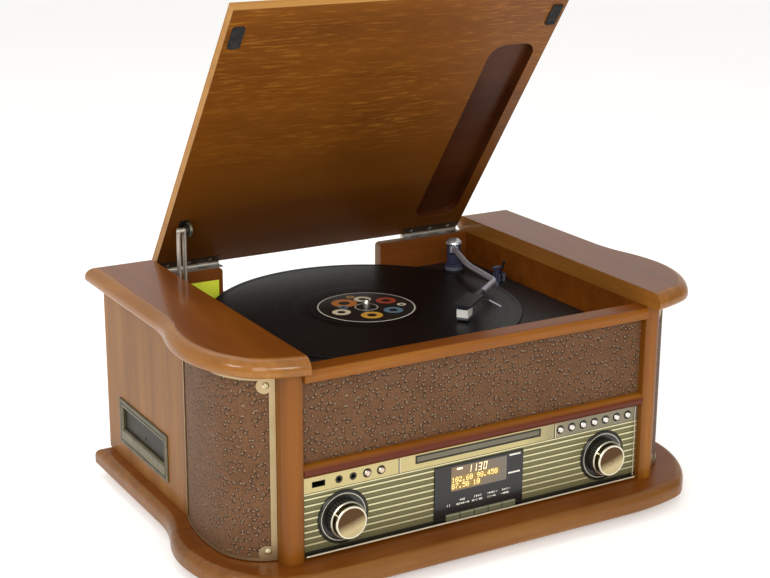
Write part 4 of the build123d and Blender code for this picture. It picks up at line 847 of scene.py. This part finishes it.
def add_screw(shape, place, axis, radius, rise):
    """A domed screw head with a cross recess, its rim flush with `place`."""
    frame = aim(place, axis)
    steps = SCREW_STEPS
    rows = []
    for k in range(SCREW_RINGS):
        r = radius * k / (SCREW_RINGS - 1)
        row = []
        for i in range(steps):
            u, v = r * cos(2 * pi * i / steps), r * sin(2 * pi * i / steps)
            height = rise * (1 - (r / radius) ** 2.4)
            arm, across = max(abs(u), abs(v)), min(abs(u), abs(v))
            if arm < CROSS_REACH * radius and across < CROSS_HALF * radius:
                height -= CROSS_DEPTH * rise
            row.append(shape.verts.new(frame @ Vector((u, v, height))))
        rows.append(row)
    for lower, upper in zip(rows, rows[1:]):
        for i in range(steps):
            k = (i + 1) % steps
            shape.faces.new((lower[i], lower[k], upper[k], upper[i]))
    bmesh.ops.remove_doubles(shape, verts=rows[0], dist=1e-7)


def add_tile(shape, outline, face):
    """A thin tile with an outline of (x, z) points, proud of an upright face by a hair."""
    rim, base = [[shape.verts.new((x, face - rise, z)) for x, z in outline]
                 for rise in (TILE_RISE, TILE_SUNK)]
    shape.faces.new(rim)
    for k in range(len(rim)):
        n = (k + 1) % len(rim)
        shape.faces.new((rim[k], base[k], base[n], rim[n]))


# ------------------------------------------------------------------ settings
def colour(name, description, code):
    return FloatVectorProperty(name=name, description=description, subtype="COLOR", size=3,
                               min=0, max=1, default=paint(code))


def length(name, description, millimetres, low=0.0, high=1000.0):
    return FloatProperty(name=name, description=description, unit="LENGTH", subtype="DISTANCE",
                         default=millimetres * MM, min=low * MM, max=high * MM)


def power(name, description, watts):
    return FloatProperty(name=name, description=description, unit="POWER", default=watts, min=0)


WOOD_TONES = {    # where each wood is, and its dark, middle and light tones
    "honey": ("eased edges of the caps", "683d11", "935e22", "af7a37"),
    "plinth": ("plinth's edges", "5a3410", "7e4f1e", "98682c"),
    "edge": ("lid's edges", "8a571e", "b37d35", "c49248"),
    "amber": ("posts and rails", "643604", "8a500c", "a8701f"),
    "walnut": ("top boards", "542703", "773e07", "8c5114"),
    "flank": ("side boards", "6a4014", "8a5a22", "9e6c30"),
    "veneer": ("inside of the lid", "3e1c02", "75420a", "8c5614"),
    "pocket": ("recess in the lid", "2b1004", "46210a", "542c0c"),
}


class MusicCentreLooks(bpy.types.PropertyGroup):
    """Colours of the finishes."""

    veneer_dash: colour("Lid lining dashes", "Short pale pores inside the lid", "ad7129")
    # painted shade: the dark red under the rail's bead
    bead_shadow_tone: colour("Bead stain", "Dark red stain under the rail's bead", "5c2206")
    leather: colour("Leatherette", "Ground of the speaker covering", "6b482c")
    leather_light: colour("Leatherette light", "Lighter clouds of the covering", "7c583a")
    # painted shade in the creases and between the pebbles
    leather_crease_shade: colour("Leatherette dark", "Creases of the covering", "442916")
    quill: colour("Quill marks", "Raised dots of the covering", "b39474")
    # painted shade in the quills' pits
    quill_pit_shade: colour("Quill pits", "Dark pit beside each raised dot", "1f120a")
    panel_light: colour("Panel light", "Sheen on the front panel", "928c60")
    panel_rib: colour("Panel ribs", "Ribs of the front panel", "e6dfb4")
    # also the painted shadow lines beside the ribs
    panel_hatch_and_shadow: colour("Panel dark", "Dark hatching of the front panel", "3e3c25")
    panel_mid: colour("Panel", "Middle tone of the front panel", "746f49")
    panel_gold: colour("Panel gold", "Strip along the top of the front panel", "cbbe8c")
    display_ground: colour("Display", "Lit ground of the display", "6e5a40")
    key: colour("Keys", "Keys under the display", "76755c")
    digits: colour("Display digits", "Light of the digits", "ffe6b4")
    barrel: colour("Knob barrel", "Dark gold of the knobs' sides", "5a5036")
    cap_gold: colour("Knob cap", "Polished caps of the knobs", "c8b78c")
    # painted reflection on the upper part of the knobs' caps
    cap_dark_reflection: colour("Knob cap upper", "Brown upper half of the knobs' caps", "4c3222")
    brass: colour("Brass", "Screws on the speaker frames", "e6dcb4")
    steel: colour("Steel", "Hinges, stay and plated parts", "c9c6bd")
    label_ground: colour("Record label", "Ground of the record's label", "15110f")
    sticker: colour("Sticker", "Blank sticker beside the turntable", "f4ff48")


for kind, (where, *codes) in WOOD_TONES.items():
    for tone, code in zip(TONES, codes):
        MusicCentreLooks.__annotations__[f"{kind}_{tone}"] = colour(
            f"{kind.title()} {tone}", f"The {tone} tone of the {where}", code)


class MusicCentreTrim(bpy.types.PropertyGroup):
    """Sizes of the small trim."""

    trim_screw: length("Frame screw", "Radius of the screws on the speaker frames", 3.0, 1, 5)
    hinge_screw: length("Hinge screw", "Radius of the hinges' screw heads", 1.9, 1, 4)
    line: length("Panel line", "Width of the thin lines on the front panel", 0.8, 0.2, 3)
    digit: length("Digit height", "Height of the clock's digits", 7.2, 2, 9)
    label: length("Record label", "Radius of the record's label", 48.4, 30, 52)


class MusicCentreStage(bpy.types.PropertyGroup):
    """Light and camera."""

    key: power("Key light", "Power of the large light at the front left", 25)
    front: power("Front light", "Power of the light at the front right", 4)
    top: power("Top light", "Power of the light over the back", 8)
    glint: power("Glint light", "Power of each small light that makes a highlight", 5)
    sky: FloatProperty(name="Ambient", description="Strength of the light from all round",
                       default=0.8, min=0)
    lens: FloatProperty(name="Lens", description="Focal length of the camera in millimetres",
                        default=76.44, min=10, subtype="FACTOR")


# ------------------------------------------------------------------ operators
# each lamp's name, the setting of its power, its size, place and target, in metres
LAMPS = (("key", "key", 1.2, (-1.5, -1.9, 1.35), (0, 0, 0.15)),
         ("front", "front", 1.0, (0.7, -2.0, 0.75), (0, 0, 0.1)),
         ("top", "top", 1.4, (0.0, 0.9, 2.0), (0, 0, 0.2)),
         ("glint_left", "glint", 0.3, (-1.75, -0.2, 1.1), (-0.24, -0.14, 0.21)),
         ("glint_right", "glint", 0.3, (-0.4, -1.55, 0.9), (-0.2, -0.165, 0.21)))
CAMERA_PLACE = (-0.76517, -1.29352, 0.66065)
CAMERA_TURNS = (-30.16009, -16.81314, 0.30433)    # left, up and roll, in degrees
SENSOR_WIDTH = 36
CAMERA_REACH = 30


class Step:
    """What the steps share: each dresses one group of pieces."""

    def execute(self, context):
        self.build(context.scene.music_looks, context.scene.music_trim)
        return {"FINISHED"}


class MUSIC_OT_stage(bpy.types.Operator):
    """Set the floor, the studio light and the camera."""

    bl_idname = "music.stage"
    bl_label = "Stage"

    def execute(self, context):
        stage = context.scene.music_stage
        scene = context.scene
        scene.view_settings.view_transform = "Standard"
        self.lay_floor()
        self.light_sky(scene, stage.sky)
        for name, setting, size, place, target in LAMPS:
            self.hang_light(name, getattr(stage, setting), size, place, target)
        self.place_camera(scene, stage.lens)
        return {"FINISHED"}

    def lay_floor(self):
        shape = bmesh.new()
        bmesh.ops.create_grid(shape, x_segments=4, y_segments=4, size=FLOOR_SIZE / 2)
        mesh = bpy.data.meshes.new("studio_floor")
        shape.to_mesh(mesh)
        shape.free()
        f = Finish("floor_paper")
        cloud = f.noise(3, 2)
        white = f.mix(cloud, "f2f2f1", "f6f6f5")
        mesh.materials.append(f.set(Base_Color=white, Roughness=0.95, Specular_IOR_Level=0.1,
                                    Emission_Color=white, Emission_Strength=0.4))
        floor = bpy.data.objects.new("studio_floor", mesh)
        bpy.context.scene.collection.objects.link(floor)

    def light_sky(self, scene, strength):
        """White paper in view; for the light, paper behind, a dark room in front, bright above."""
        world = bpy.data.worlds.new("studio")
        world.use_nodes = True
        scene.world = world
        world.node_tree.nodes.clear()
        n = Nodes(world.node_tree)
        way = n.make("ShaderNodeSeparateXYZ", Vector=n.make("ShaderNodeTexCoord")["Generated"])
        paper = way["Y"].above(0.05, 0.7)
        ceiling = way["Z"].above(0.55, 0.7)
        bright = (paper * 0.85).most(ceiling)
        room = n.mix(bright, "5a5550", (1, 0.985, 0.96))
        light = n.make("ShaderNodeBackground", Color=room, Strength=strength)["Background"]
        white = n.make("ShaderNodeBackground", Color=(1, 1, 1), Strength=1.0)["Background"]
        seen = n.make("ShaderNodeLightPath")["Is Camera Ray"]
        either = world.node_tree.nodes.new("ShaderNodeMixShader")
        for socket, value in zip(either.inputs, (seen, light, white)):
            plug(world.node_tree, socket, value)
        out = world.node_tree.nodes.new("ShaderNodeOutputWorld")
        plug(world.node_tree, out.inputs["Surface"], Sock(world.node_tree, either.outputs[0]))

    def hang_light(self, name, watts, size, place, target):
        lamp = bpy.data.lights.new(name, "AREA")
        lamp.energy = watts
        lamp.size = size
        lamp.color = (1, 0.98, 0.95)
        holder = bpy.data.objects.new(name, lamp)
        holder.matrix_world = aim(Vector(place), Vector(place) - Vector(target))
        holder.visible_camera = False
        bpy.context.scene.collection.objects.link(holder)

    def place_camera(self, scene, lens):
        camera = bpy.data.cameras.new("view")
        camera.lens = lens
        camera.sensor_width = SENSOR_WIDTH
        camera.sensor_fit = "HORIZONTAL"
        camera.clip_end = CAMERA_REACH
        holder = bpy.data.objects.new("view", camera)
        turn_left, tip, roll = (radians(angle) for angle in CAMERA_TURNS)
        forward = Vector((-sin(turn_left) * cos(tip), cos(turn_left) * cos(tip), sin(tip)))
        level = Vector((cos(turn_left), sin(turn_left), 0))
        upright = level.cross(forward)
        right = cos(roll) * level + sin(roll) * upright
        up = cos(roll) * upright - sin(roll) * level
        frame = Matrix((right, up, -forward)).transposed().to_4x4()
        frame.translation = CAMERA_PLACE
        holder.matrix_world = frame
        scene.collection.objects.link(holder)
        scene.camera = holder


class MUSIC_OT_woodwork(Step, bpy.types.Operator):
    """Finish the plinth, caps, posts, rails, boards and lid."""

    bl_idname = "music.woodwork"
    bl_label = "Woodwork"

    def build(self, looks, trim):
        walnut, honey = woods(looks, "walnut"), woods(looks, "honey")
        # The plinth's flat top takes the walnut tones: painted shade on the plinth's top.
        dress(make_wood("plinth_honey", "x", woods(looks, "plinth"), walnut, lacquer=0.2,
                        contrast=0.45), "plinth")
        # The caps' eased edges take lighter honey tones than their walnut tops, partly as painted
        # sheen on the rounded edges.
        dress(make_wood("caps_walnut", "y", honey, walnut, gloss=0.34, lacquer=0.45), "caps")
        dress(make_post_wood(looks), "posts")
        dress(make_rail_wood(looks), "front_rails")
        dress(make_wood("sides_flank", "z", woods(looks, "flank"), gloss=0.42, lacquer=0.15,
                        contrast=0.6), "side_panels")
        dress(make_wood("well_amber", "x", walnut, gloss=0.42, lacquer=0.15),
              "inner_walls")
        dress(make_lid_wood(looks, "lid_board", BOARD_DEPTH), "lid")
        dress(make_lid_wood(looks, "lid_veneer", LINING_DEPTH), "lid_lining")
        dress(make_back_wood(looks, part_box("back_panel")[0].y), "back_panel")
        dress(make_rubber("foot_rubber", "141414"), "feet", "lid_pads")


FRAME_SCREW_X, FRAME_SCREW_Y = 207.9, -137.6
FRAME_SCREW_LEVELS = (37.4, 189.5)


class MUSIC_OT_speakers(Step, bpy.types.Operator):
    """Cover the speaker fronts and fix their metal frames."""

    bl_idname = "music.speakers"
    bl_label = "Speaker fronts"

    def build(self, looks, trim):
        dress(make_quill_leather(looks, "leather_curved", along_curve), "grilles")
        dress(make_quill_leather(looks, "leather_flat", lambda f: f.x), "front_cloth")
        frame_metal = make_metal("frame_champagne", "b8a27c", 0.32, "z", 0.2)
        dress(frame_metal, "grille_trims")
        dress(make_plastic("cone_paper", "121212", 0.8), "woofers")
        brass = make_metal("screw_brass", looks.brass, 0.22, None, 0.35)
        shape = bmesh.new()
        for side in (-1, 1):
            for level in FRAME_SCREW_LEVELS:
                place = Vector((side * FRAME_SCREW_X, FRAME_SCREW_Y, level)) * MM
                add_screw(shape, place, (side * 0.35, -0.936, 0), trim.trim_screw, 1.3 * MM)
        add_part(shape, "speaker_frame_screws", brass, "cabinet")


RIGHT_BUTTONS = [f"button_right_{i}" for i in range(1, 8)]
LEFT_BUTTONS = ["button_left_1", "button_left_2"]
STRIP_LINES = mm(-84, 84, 177.2)
LINE_RISE, LINE_EASE = mm(0.25, 0.1)
# painted gap shadow round each round button, as radius and height in millimetres
BUTTON_SHADOW_RING = ((3.3, 0), (3.3, 0.35), (3.55, 0.5), (4.15, 0.35), (4.3, 0))


class MUSIC_OT_front_panel(Step, bpy.types.Operator):
    """Finish the ribbed panel with its strip, sockets, buttons, keys and knobs."""

    bl_idname = "music.front_panel"
    bl_label = "Front panel"

    def build(self, looks, trim):
        dress(make_fascia(looks), "fascia")
        dress(make_knob(looks, "volume_knob", -KNOB_X), "volume_knob")
        dress(make_knob(looks, "tuning_knob", KNOB_X), "tuning_knob")
        dress(make_knob_ring(), "knob_rings")
        dress(make_metal("socket_steel", "4a4842", 0.4, None, 0.5), "front_sockets")
        silver = make_metal("button_silver", "e2dfd6", 0.12, None, 0.1)
        pink = make_metal("button_pink_gold", "dcc6b2", 0.14, None, 0.1)
        dress(silver, *RIGHT_BUTTONS)
        dress(pink, *LEFT_BUTTONS)
        dress(make_key(looks), *[f"key_{i}" for i in range(1, 6)])
        self.rule_lines(looks, trim)
        self.ring_button_shadows()

    def rule_lines(self, looks, trim):
        """Pale lines that part the strip and edge the panel, and dark blocks that paint their
        shadows.
        """
        pale = make_plastic("line_pale", "e3d6bc", 0.3, specks=0.15)
        dark = make_plastic("line_dark", "17160f", 0.4)
        wide = trim.line
        low, high = FASCIA_LOW.z, FASCIA_HIGH.z
        lines = bmesh.new()
        shades = bmesh.new()
        for x in STRIP_LINES:
            add_block(lines, (x, STRIP_FACE - LINE_RISE, STRIP_LOW), (x + wide, STRIP_FACE, high),
                      LINE_EASE)
            # painted shadow to the left of each strip line
            add_block(shades, (x - wide, STRIP_FACE - 0.1 * MM, STRIP_LOW), (x, STRIP_FACE, high))
        edge, lip = FASCIA_EDGE, KEY_FACE - LIP_CLEAR
        for side in (-1, 1):
            left, right = sorted((side * edge, side * (edge + wide)))
            add_block(lines, (left, FASCIA_FACE - LINE_RISE, low), (right, FASCIA_FACE, STRIP_LOW),
                      LINE_EASE)
        add_block(lines, (-edge, lip - LIP_THICK, low - 0.5 * MM), (edge, lip, low + 0.7 * MM),
                  LINE_EASE)
        # painted shadow under the lip
        add_block(shades, (-edge, lip, low - 0.6 * MM), (edge, FASCIA_FACE, low + 0.1 * MM))
        add_part(lines, "panel_lines", pale, "cabinet")
        add_part(shades, "panel_shades", dark, "cabinet")

    def ring_button_shadows(self):
        """A dark ring round every round button: a painted shadow in the gap."""
        shape = bmesh.new()
        for node in RIGHT_BUTTONS + LEFT_BUTTONS:
            self.add_button_shadow(shape, node)
        add_part(shape, "button_collars", make_plastic("collar_black", "1d1a14", 0.3),
                 "cabinet")

    def add_button_shadow(self, shape, node):
        low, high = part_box(node)
        place = Vector(((low.x + high.x) / 2, STRIP_FACE, (low.z + high.z) / 2))
        turn(shape, [(r * MM, h * MM) for r, h in BUTTON_SHADOW_RING], aim(place, (0, -1, 0)))


CLOCK = "1130"
SEGMENTS = {"0": "abcdef", "1": "bc", "3": "abgcd"}
STATIONS = (("102.60 98.450", 67.4 * MM), ("87.50 10", 61.3 * MM))
STATION_LEFT = -29.4 * MM
DOT_PITCH, DOT_RISE = mm(0.64, 0.72)
DOT_SHARE = 0.86    # how much of its cell a dot fills
# seven rows of five dots for each sign, each row a pair of hex digits
GLYPHS = {"0": "0E11191513110E", "1": "040C040404040E", "2": "0E11010204081F",
          "4": "02060A121F0202", "5": "1F101E0101110E", "6": "0608101E11110E",
          "7": "1F010204080808", "8": "0E11110E11110E", "9": "0E11110F01020C",
          ".": "00000000000C0C", " ": "00000000000000"}
# where each row of control signs starts, in millimetres, and its signs
SIGNS = ((-34.6, 46.1, "||"), (-20.8, 49.4, "<<|"), (-23.9, 45.7, "#|>>-#"),
         (-5.4, 49.4, "|>>|"), (-7.4, 45.7, "#-|<#"), (9.2, 49.4, "->#|-"),
         (9.4, 45.7, "||-#"), (25.6, 49.4, ">>|-"), (24.6, 45.7, "-##>"))
OUTLINES = {">": ((0, -1.2), (2, 0), (0, 1.2)), "<": ((2, -1.2), (2, 1.2), (0, 0)),
            "|": ((0.5, -1.2), (1.1, -1.2), (1.1, 1.2), (0.5, 1.2)),
            "-": ((0, -0.3), (2, -0.3), (2, 0.3), (0, 0.3)),
            "#": ((0, -0.8), (2, -0.8), (2, 0.8), (0, 0.8))}
SIDE_BARS = ((32.8, 82.1, 12.2), (31.8, 64.5, 13.0))


class MUSIC_OT_display(Step, bpy.types.Operator):
    """Finish the display and light its digits."""

    bl_idname = "music.display"
    bl_label = "Display"

    def build(self, looks, trim):
        dress(make_plastic("display_black", "0e0e10", 0.2, 0.004 * MM, 0.3, 0.1),
              "display_block")
        dress(make_display(looks), "display_window")
        face = WINDOW_LOW.y
        shape = bmesh.new()
        for i, digit in enumerate(CLOCK):
            self.add_digit(shape, digit, (-12.6 + i * 5.6) * MM, face, 74.2 * MM, trim.digit)
        self.add_bar(shape, -24.1, 79.3, -18.2, 81.0, face)
        add_part(shape, "clock_digits", make_glow("digits_lit", looks.digits, 1.5),
                 "cabinet")
        dots = bmesh.new()
        for text, low in STATIONS:
            self.add_dots(dots, text, STATION_LEFT, face, low)
        add_part(dots, "station_dots", make_glow("dots_lit", "ffd98c", 1.3),
                 "cabinet")
        marks = bmesh.new()
        for x, z, signs in SIGNS:
            for i, sign in enumerate(signs):
                self.add_sign(marks, sign, (x + i * 2.3) * MM, DISPLAY_LOW.y, z * MM)
        for x, z, wide in SIDE_BARS:
            self.add_bar(marks, x, z - 0.8, x + wide, z + 0.8, DISPLAY_LOW.y)
        add_part(marks, "display_marks", make_plastic("mark_white", "f2efe0", 0.5),
                 "cabinet")

    def add_bar(self, shape, left, low, right, high, face):
        """A thin bar between two corners given in millimetres."""
        add_block(shape, (left * MM, face - TILE_RISE, low * MM),
                  (right * MM, face - TILE_SUNK, high * MM))

    def add_sign(self, shape, sign, left, face, middle):
        """A small white control sign: an arrow, a bar, a dash or a square."""
        add_tile(shape, [(left + x * MM, middle + z * MM) for x, z in OUTLINES[sign]], face)

    def add_digit(self, shape, digit, left, face, low, tall):
        """A leaning seven-segment digit."""
        wide, bar, lean = tall * 0.5, tall * 0.11, 0.12
        half, gap = tall / 2, bar * 0.16
        bars = {"a": (0, tall - bar, wide, tall), "g": (0, half - bar / 2, wide, half + bar / 2),
                "d": (0, 0, wide, bar), "f": (0, half, bar, tall),
                "b": (wide - bar, half, wide, tall), "e": (0, 0, bar, half),
                "c": (wide - bar, 0, wide, half)}
        for segment in SEGMENTS[digit]:
            x0, z0, x1, z1 = bars[segment]
            corners = ((x0 + gap, z0 + gap), (x1 - gap, z0 + gap), (x1 - gap, z1 - gap),
                       (x0 + gap, z1 - gap))
            add_tile(shape, [(left + x + lean * z, low + z) for x, z in corners], face)

    def add_dots(self, shape, text, left, face, low):
        """Numbers in a five by seven grid of small lit squares."""
        for i, sign in enumerate(text):
            for row, line in enumerate(bytes.fromhex(GLYPHS[sign])):
                for column in range(5):
                    if line >> (4 - column) & 1:
                        x = left + (i * 6 + column) * DOT_PITCH
                        z = low + (6 - row) * DOT_RISE
                        add_block(shape, (x, face - 0.05 * MM, z),
                                  (x + DOT_SHARE * DOT_PITCH, face - TILE_SUNK,
                                   z + DOT_SHARE * DOT_RISE))


class MUSIC_OT_drawer(Step, bpy.types.Operator):
    """Finish the disc drawer and what stands behind it."""

    bl_idname = "music.drawer"
    bl_label = "Disc drawer"

    def build(self, looks, trim):
        dress(make_plastic("drawer_olive", "6b6552", 0.34, coat=0.2), "cd_drawer")
        dress(make_plastic("mechanism_black", "17171a", 0.5), "cd_mechanism")
        low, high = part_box("cd_drawer")
        shape = bmesh.new()
        wide, out = 1.1 * MM, 0.55 * MM
        face = STRIP_FACE
        left, right = low.x - 0.5 * MM, high.x + 0.5 * MM
        bottom, top = low.z - 0.45 * MM, high.z + 0.45 * MM
        for a, b in (((left - wide, bottom - wide), (right + wide, bottom)),
                     ((left - wide, top), (right + wide, top + wide)),
                     ((left - wide, bottom), (left, top)), ((right, bottom), (right + wide, top))):
            add_block(shape, (a[0], face - out, a[1]), (b[0], face, b[1]), 0.15 * MM)
        add_part(shape, "drawer_surround", make_plastic("surround_black", "24221a", 0.35),
                 "cabinet")


class MUSIC_OT_cassette(Step, bpy.types.Operator):
    """Finish the cassette slot in the left side."""

    bl_idname = "music.cassette"
    bl_label = "Cassette slot"

    def build(self, looks, trim):
        dress(make_bezel("bezel_pewter"), "cassette_bezel")
        dress(make_plastic("flap_olive", "2a2618", 0.5), "cassette_flap")
        dress(make_plastic("deck_black", "17171a", 0.5), "cassette_deck")


class MUSIC_OT_turntable(Step, bpy.types.Operator):
    """Finish the deck, platter, record, motor and belt."""

    bl_idname = "music.turntable"
    bl_label = "Turntable"

    def build(self, looks, trim):
        dress(make_plastic("deck_satin", "121213", 0.42, 0.05 * MM), "turntable_deck")
        dress(make_platter("platter_mat"), "platter")
        dress(make_vinyl(), "record")
        dress(make_metal("motor_can", "8f8d88", 0.4, None, 0.4), "motor")
        dress(make_metal("pulley_brass", "c8a75a", 0.25), "motor_pulley")
        dress(make_rubber("belt_rubber", "101010"), "drive_belt")
        self.stick_label(looks, trim.label)

    def stick_label(self, looks, radius):
        shape = bmesh.new()
        top = 0.12 * MM
        turn(shape, [(3.8 * MM, 0.02 * MM), (3.8 * MM, top), (radius - 0.3 * MM, top),
                     (radius, 0.02 * MM)], Matrix.Translation(SPINDLE), 96)
        add_part(shape, "record_label", make_label(looks), "platter")


class MUSIC_OT_tonearm(Step, bpy.types.Operator):
    """Finish the tonearm, its tower, base and cartridge."""

    bl_idname = "music.tonearm"
    bl_label = "Tonearm"

    def build(self, looks, trim):
        dress(make_tonearm("arm_silver"), "tonearm")
        dress(make_tower("tower_slate"), "tonearm_yoke")
        dress(make_tower("base_slate"), "tonearm_base")
        dress(make_cartridge("cartridge_white"), "cartridge")
        dress(make_plastic("lever_black", "1b1d24", 0.34, coat=0.3), "cue_lever")


HINGE_MIDDLE = 141.8
PIN_HEAD_X = -170.1 * MM
# radius and height of each point, in millimetres
DRUM_OUTLINE = ((0, 1.1), (1.2, 1.1), (1.5, 0.7), (4.9, 0.7), (5.6, 2.2), (6.6, 2.7), (7.3, 2.3),
                (7.3, 0.1), (0, 0.1))
PIN_OUTLINE = ((0, 0.9), (1.2, 0.8), (2.0, 0.4), (2.3, 0), (0, 0))


class MUSIC_OT_lid_fittings(Step, bpy.types.Operator):
    """Finish the hinges and the stay, and drive their screws."""

    bl_idname = "music.lid_fittings"
    bl_label = "Hinges and stay"

    def build(self, looks, trim):
        steel = make_metal("plated_steel", looks.steel, 0.26, "x", 0.3)
        dress(make_leaf("leaf_bronze", looks), "lid_leaves")
        dress(steel, "cabinet_leaves", "stay_guide")
        dress(make_metal("seat_dark", "4c4a42", 0.4, None, 0.4), "stay_plate")
        dress(make_metal("stay_steel", "ece4d6", 0.42, "z", 0.2), "stay_arm")
        screws = bmesh.new()
        for middle in (-HINGE_MIDDLE, HINGE_MIDDLE):
            for step in (-23, 0, 23):
                place = LID_FRAME @ (Vector((middle + step, -7.4, 0.06)) * MM)
                add_screw(screws, place, -LID_OUT, trim.hinge_screw, 0.12 * MM)
        add_part(screws, "hinge_screws", steel, "lid")
        drum = bmesh.new()
        turn(drum, [(r * MM, h * MM) for r, h in DRUM_OUTLINE], aim(DRUM_CENTRE, (1, 0, 0)))
        add_part(drum, "stay_drum", make_drum("drum_black"), "lid")
        pins = bmesh.new()
        pivot = Vector(JOINTS["stay_pivot"]["pos_m"])
        place = aim(Vector((PIN_HEAD_X, pivot.y, pivot.z)), (-1, 0, 0))
        turn(pins, [(r * MM, h * MM) for r, h in PIN_OUTLINE], place, 24)
        add_part(pins, "stay_pin_head", make_metal("pin_bright", "e8e4da", 0.2), "lid")


# x and z of each screw in the back board, in millimetres
BACK_SCREWS = ((-208, 36), (-208, 195), (-104, 36), (0, 36), (104, 36), (208, 36), (208, 195))


class MUSIC_OT_back(Step, bpy.types.Operator):
    """Finish the back's sockets and the parts inside, and fix its screws and the sticker."""

    bl_idname = "music.back"
    bl_label = "Back and inside"

    def build(self, looks, trim):
        dress(make_plastic("terminal_black", "17171a", 0.45), "rear_terminals")
        dress(make_plastic("circuit_green", "2b6b3c", 0.35, coat=0.3), "circuit_boards")
        dress(make_metal("core_iron", "5a5a58", 0.5, "z", 0.6), "transformer")
        low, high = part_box("back_panel")
        face = low.y
        screws = bmesh.new()
        for x, z in BACK_SCREWS:
            add_screw(screws, Vector((x * MM, high.y, z * MM)), (0, 1, 0), 3.2 * MM, 0.9 * MM)
        black = make_metal("screw_black", "3a3a3c", 0.4, None, 0.3)
        add_part(screws, "back_screws", black, "cabinet")
        shape = bmesh.new()
        add_block(shape, (-152 * MM, face - 0.12 * MM, 166 * MM),
                  (-114.4 * MM, face - 0.02 * MM, 191 * MM))
        add_part(shape, "blank_sticker", make_plastic("sticker_yellow", looks.sticker, 0.4),
                 "cabinet")


# ------------------------------------------------------------------ panel and registration
PIECES = (MUSIC_OT_stage, MUSIC_OT_woodwork, MUSIC_OT_speakers, MUSIC_OT_front_panel,
          MUSIC_OT_display, MUSIC_OT_drawer, MUSIC_OT_cassette, MUSIC_OT_turntable,
          MUSIC_OT_tonearm, MUSIC_OT_lid_fittings, MUSIC_OT_back)
SETTINGS = {"music_looks": MusicCentreLooks, "music_trim": MusicCentreTrim,
            "music_stage": MusicCentreStage}


class MUSIC_PT_panel(bpy.types.Panel):
    """Lists the settings and the steps that dress the music centre."""

    bl_label = "Music Centre"
    bl_idname = "MUSIC_PT_panel"
    bl_space_type = "VIEW_3D"
    bl_region_type = "UI"
    bl_category = "Music Centre"

    def draw(self, context):
        for holder, group in SETTINGS.items():
            box = self.layout.box()
            box.label(text=group.__doc__)
            for key in group.__annotations__:
                box.prop(getattr(context.scene, holder), key)
        for piece in PIECES:
            self.layout.operator(piece.bl_idname)


def register():
    for group in SETTINGS.values():
        bpy.utils.register_class(group)
    for holder, group in SETTINGS.items():
        setattr(bpy.types.Scene, holder, PointerProperty(type=group))
    for piece in (*PIECES, MUSIC_PT_panel):
        bpy.utils.register_class(piece)


def unregister():
    for piece in (MUSIC_PT_panel, *reversed(PIECES)):
        bpy.utils.unregister_class(piece)
    for holder, group in SETTINGS.items():
        delattr(bpy.types.Scene, holder)
        bpy.utils.unregister_class(group)


def main():
    register()
    for piece in PIECES:
        step = getattr(bpy.ops.music, piece.bl_idname.split(".")[1])
        if step() != {"FINISHED"}:
            raise RuntimeError(f"{piece.bl_label} was not finished")


if __name__ == "__main__":
    main()
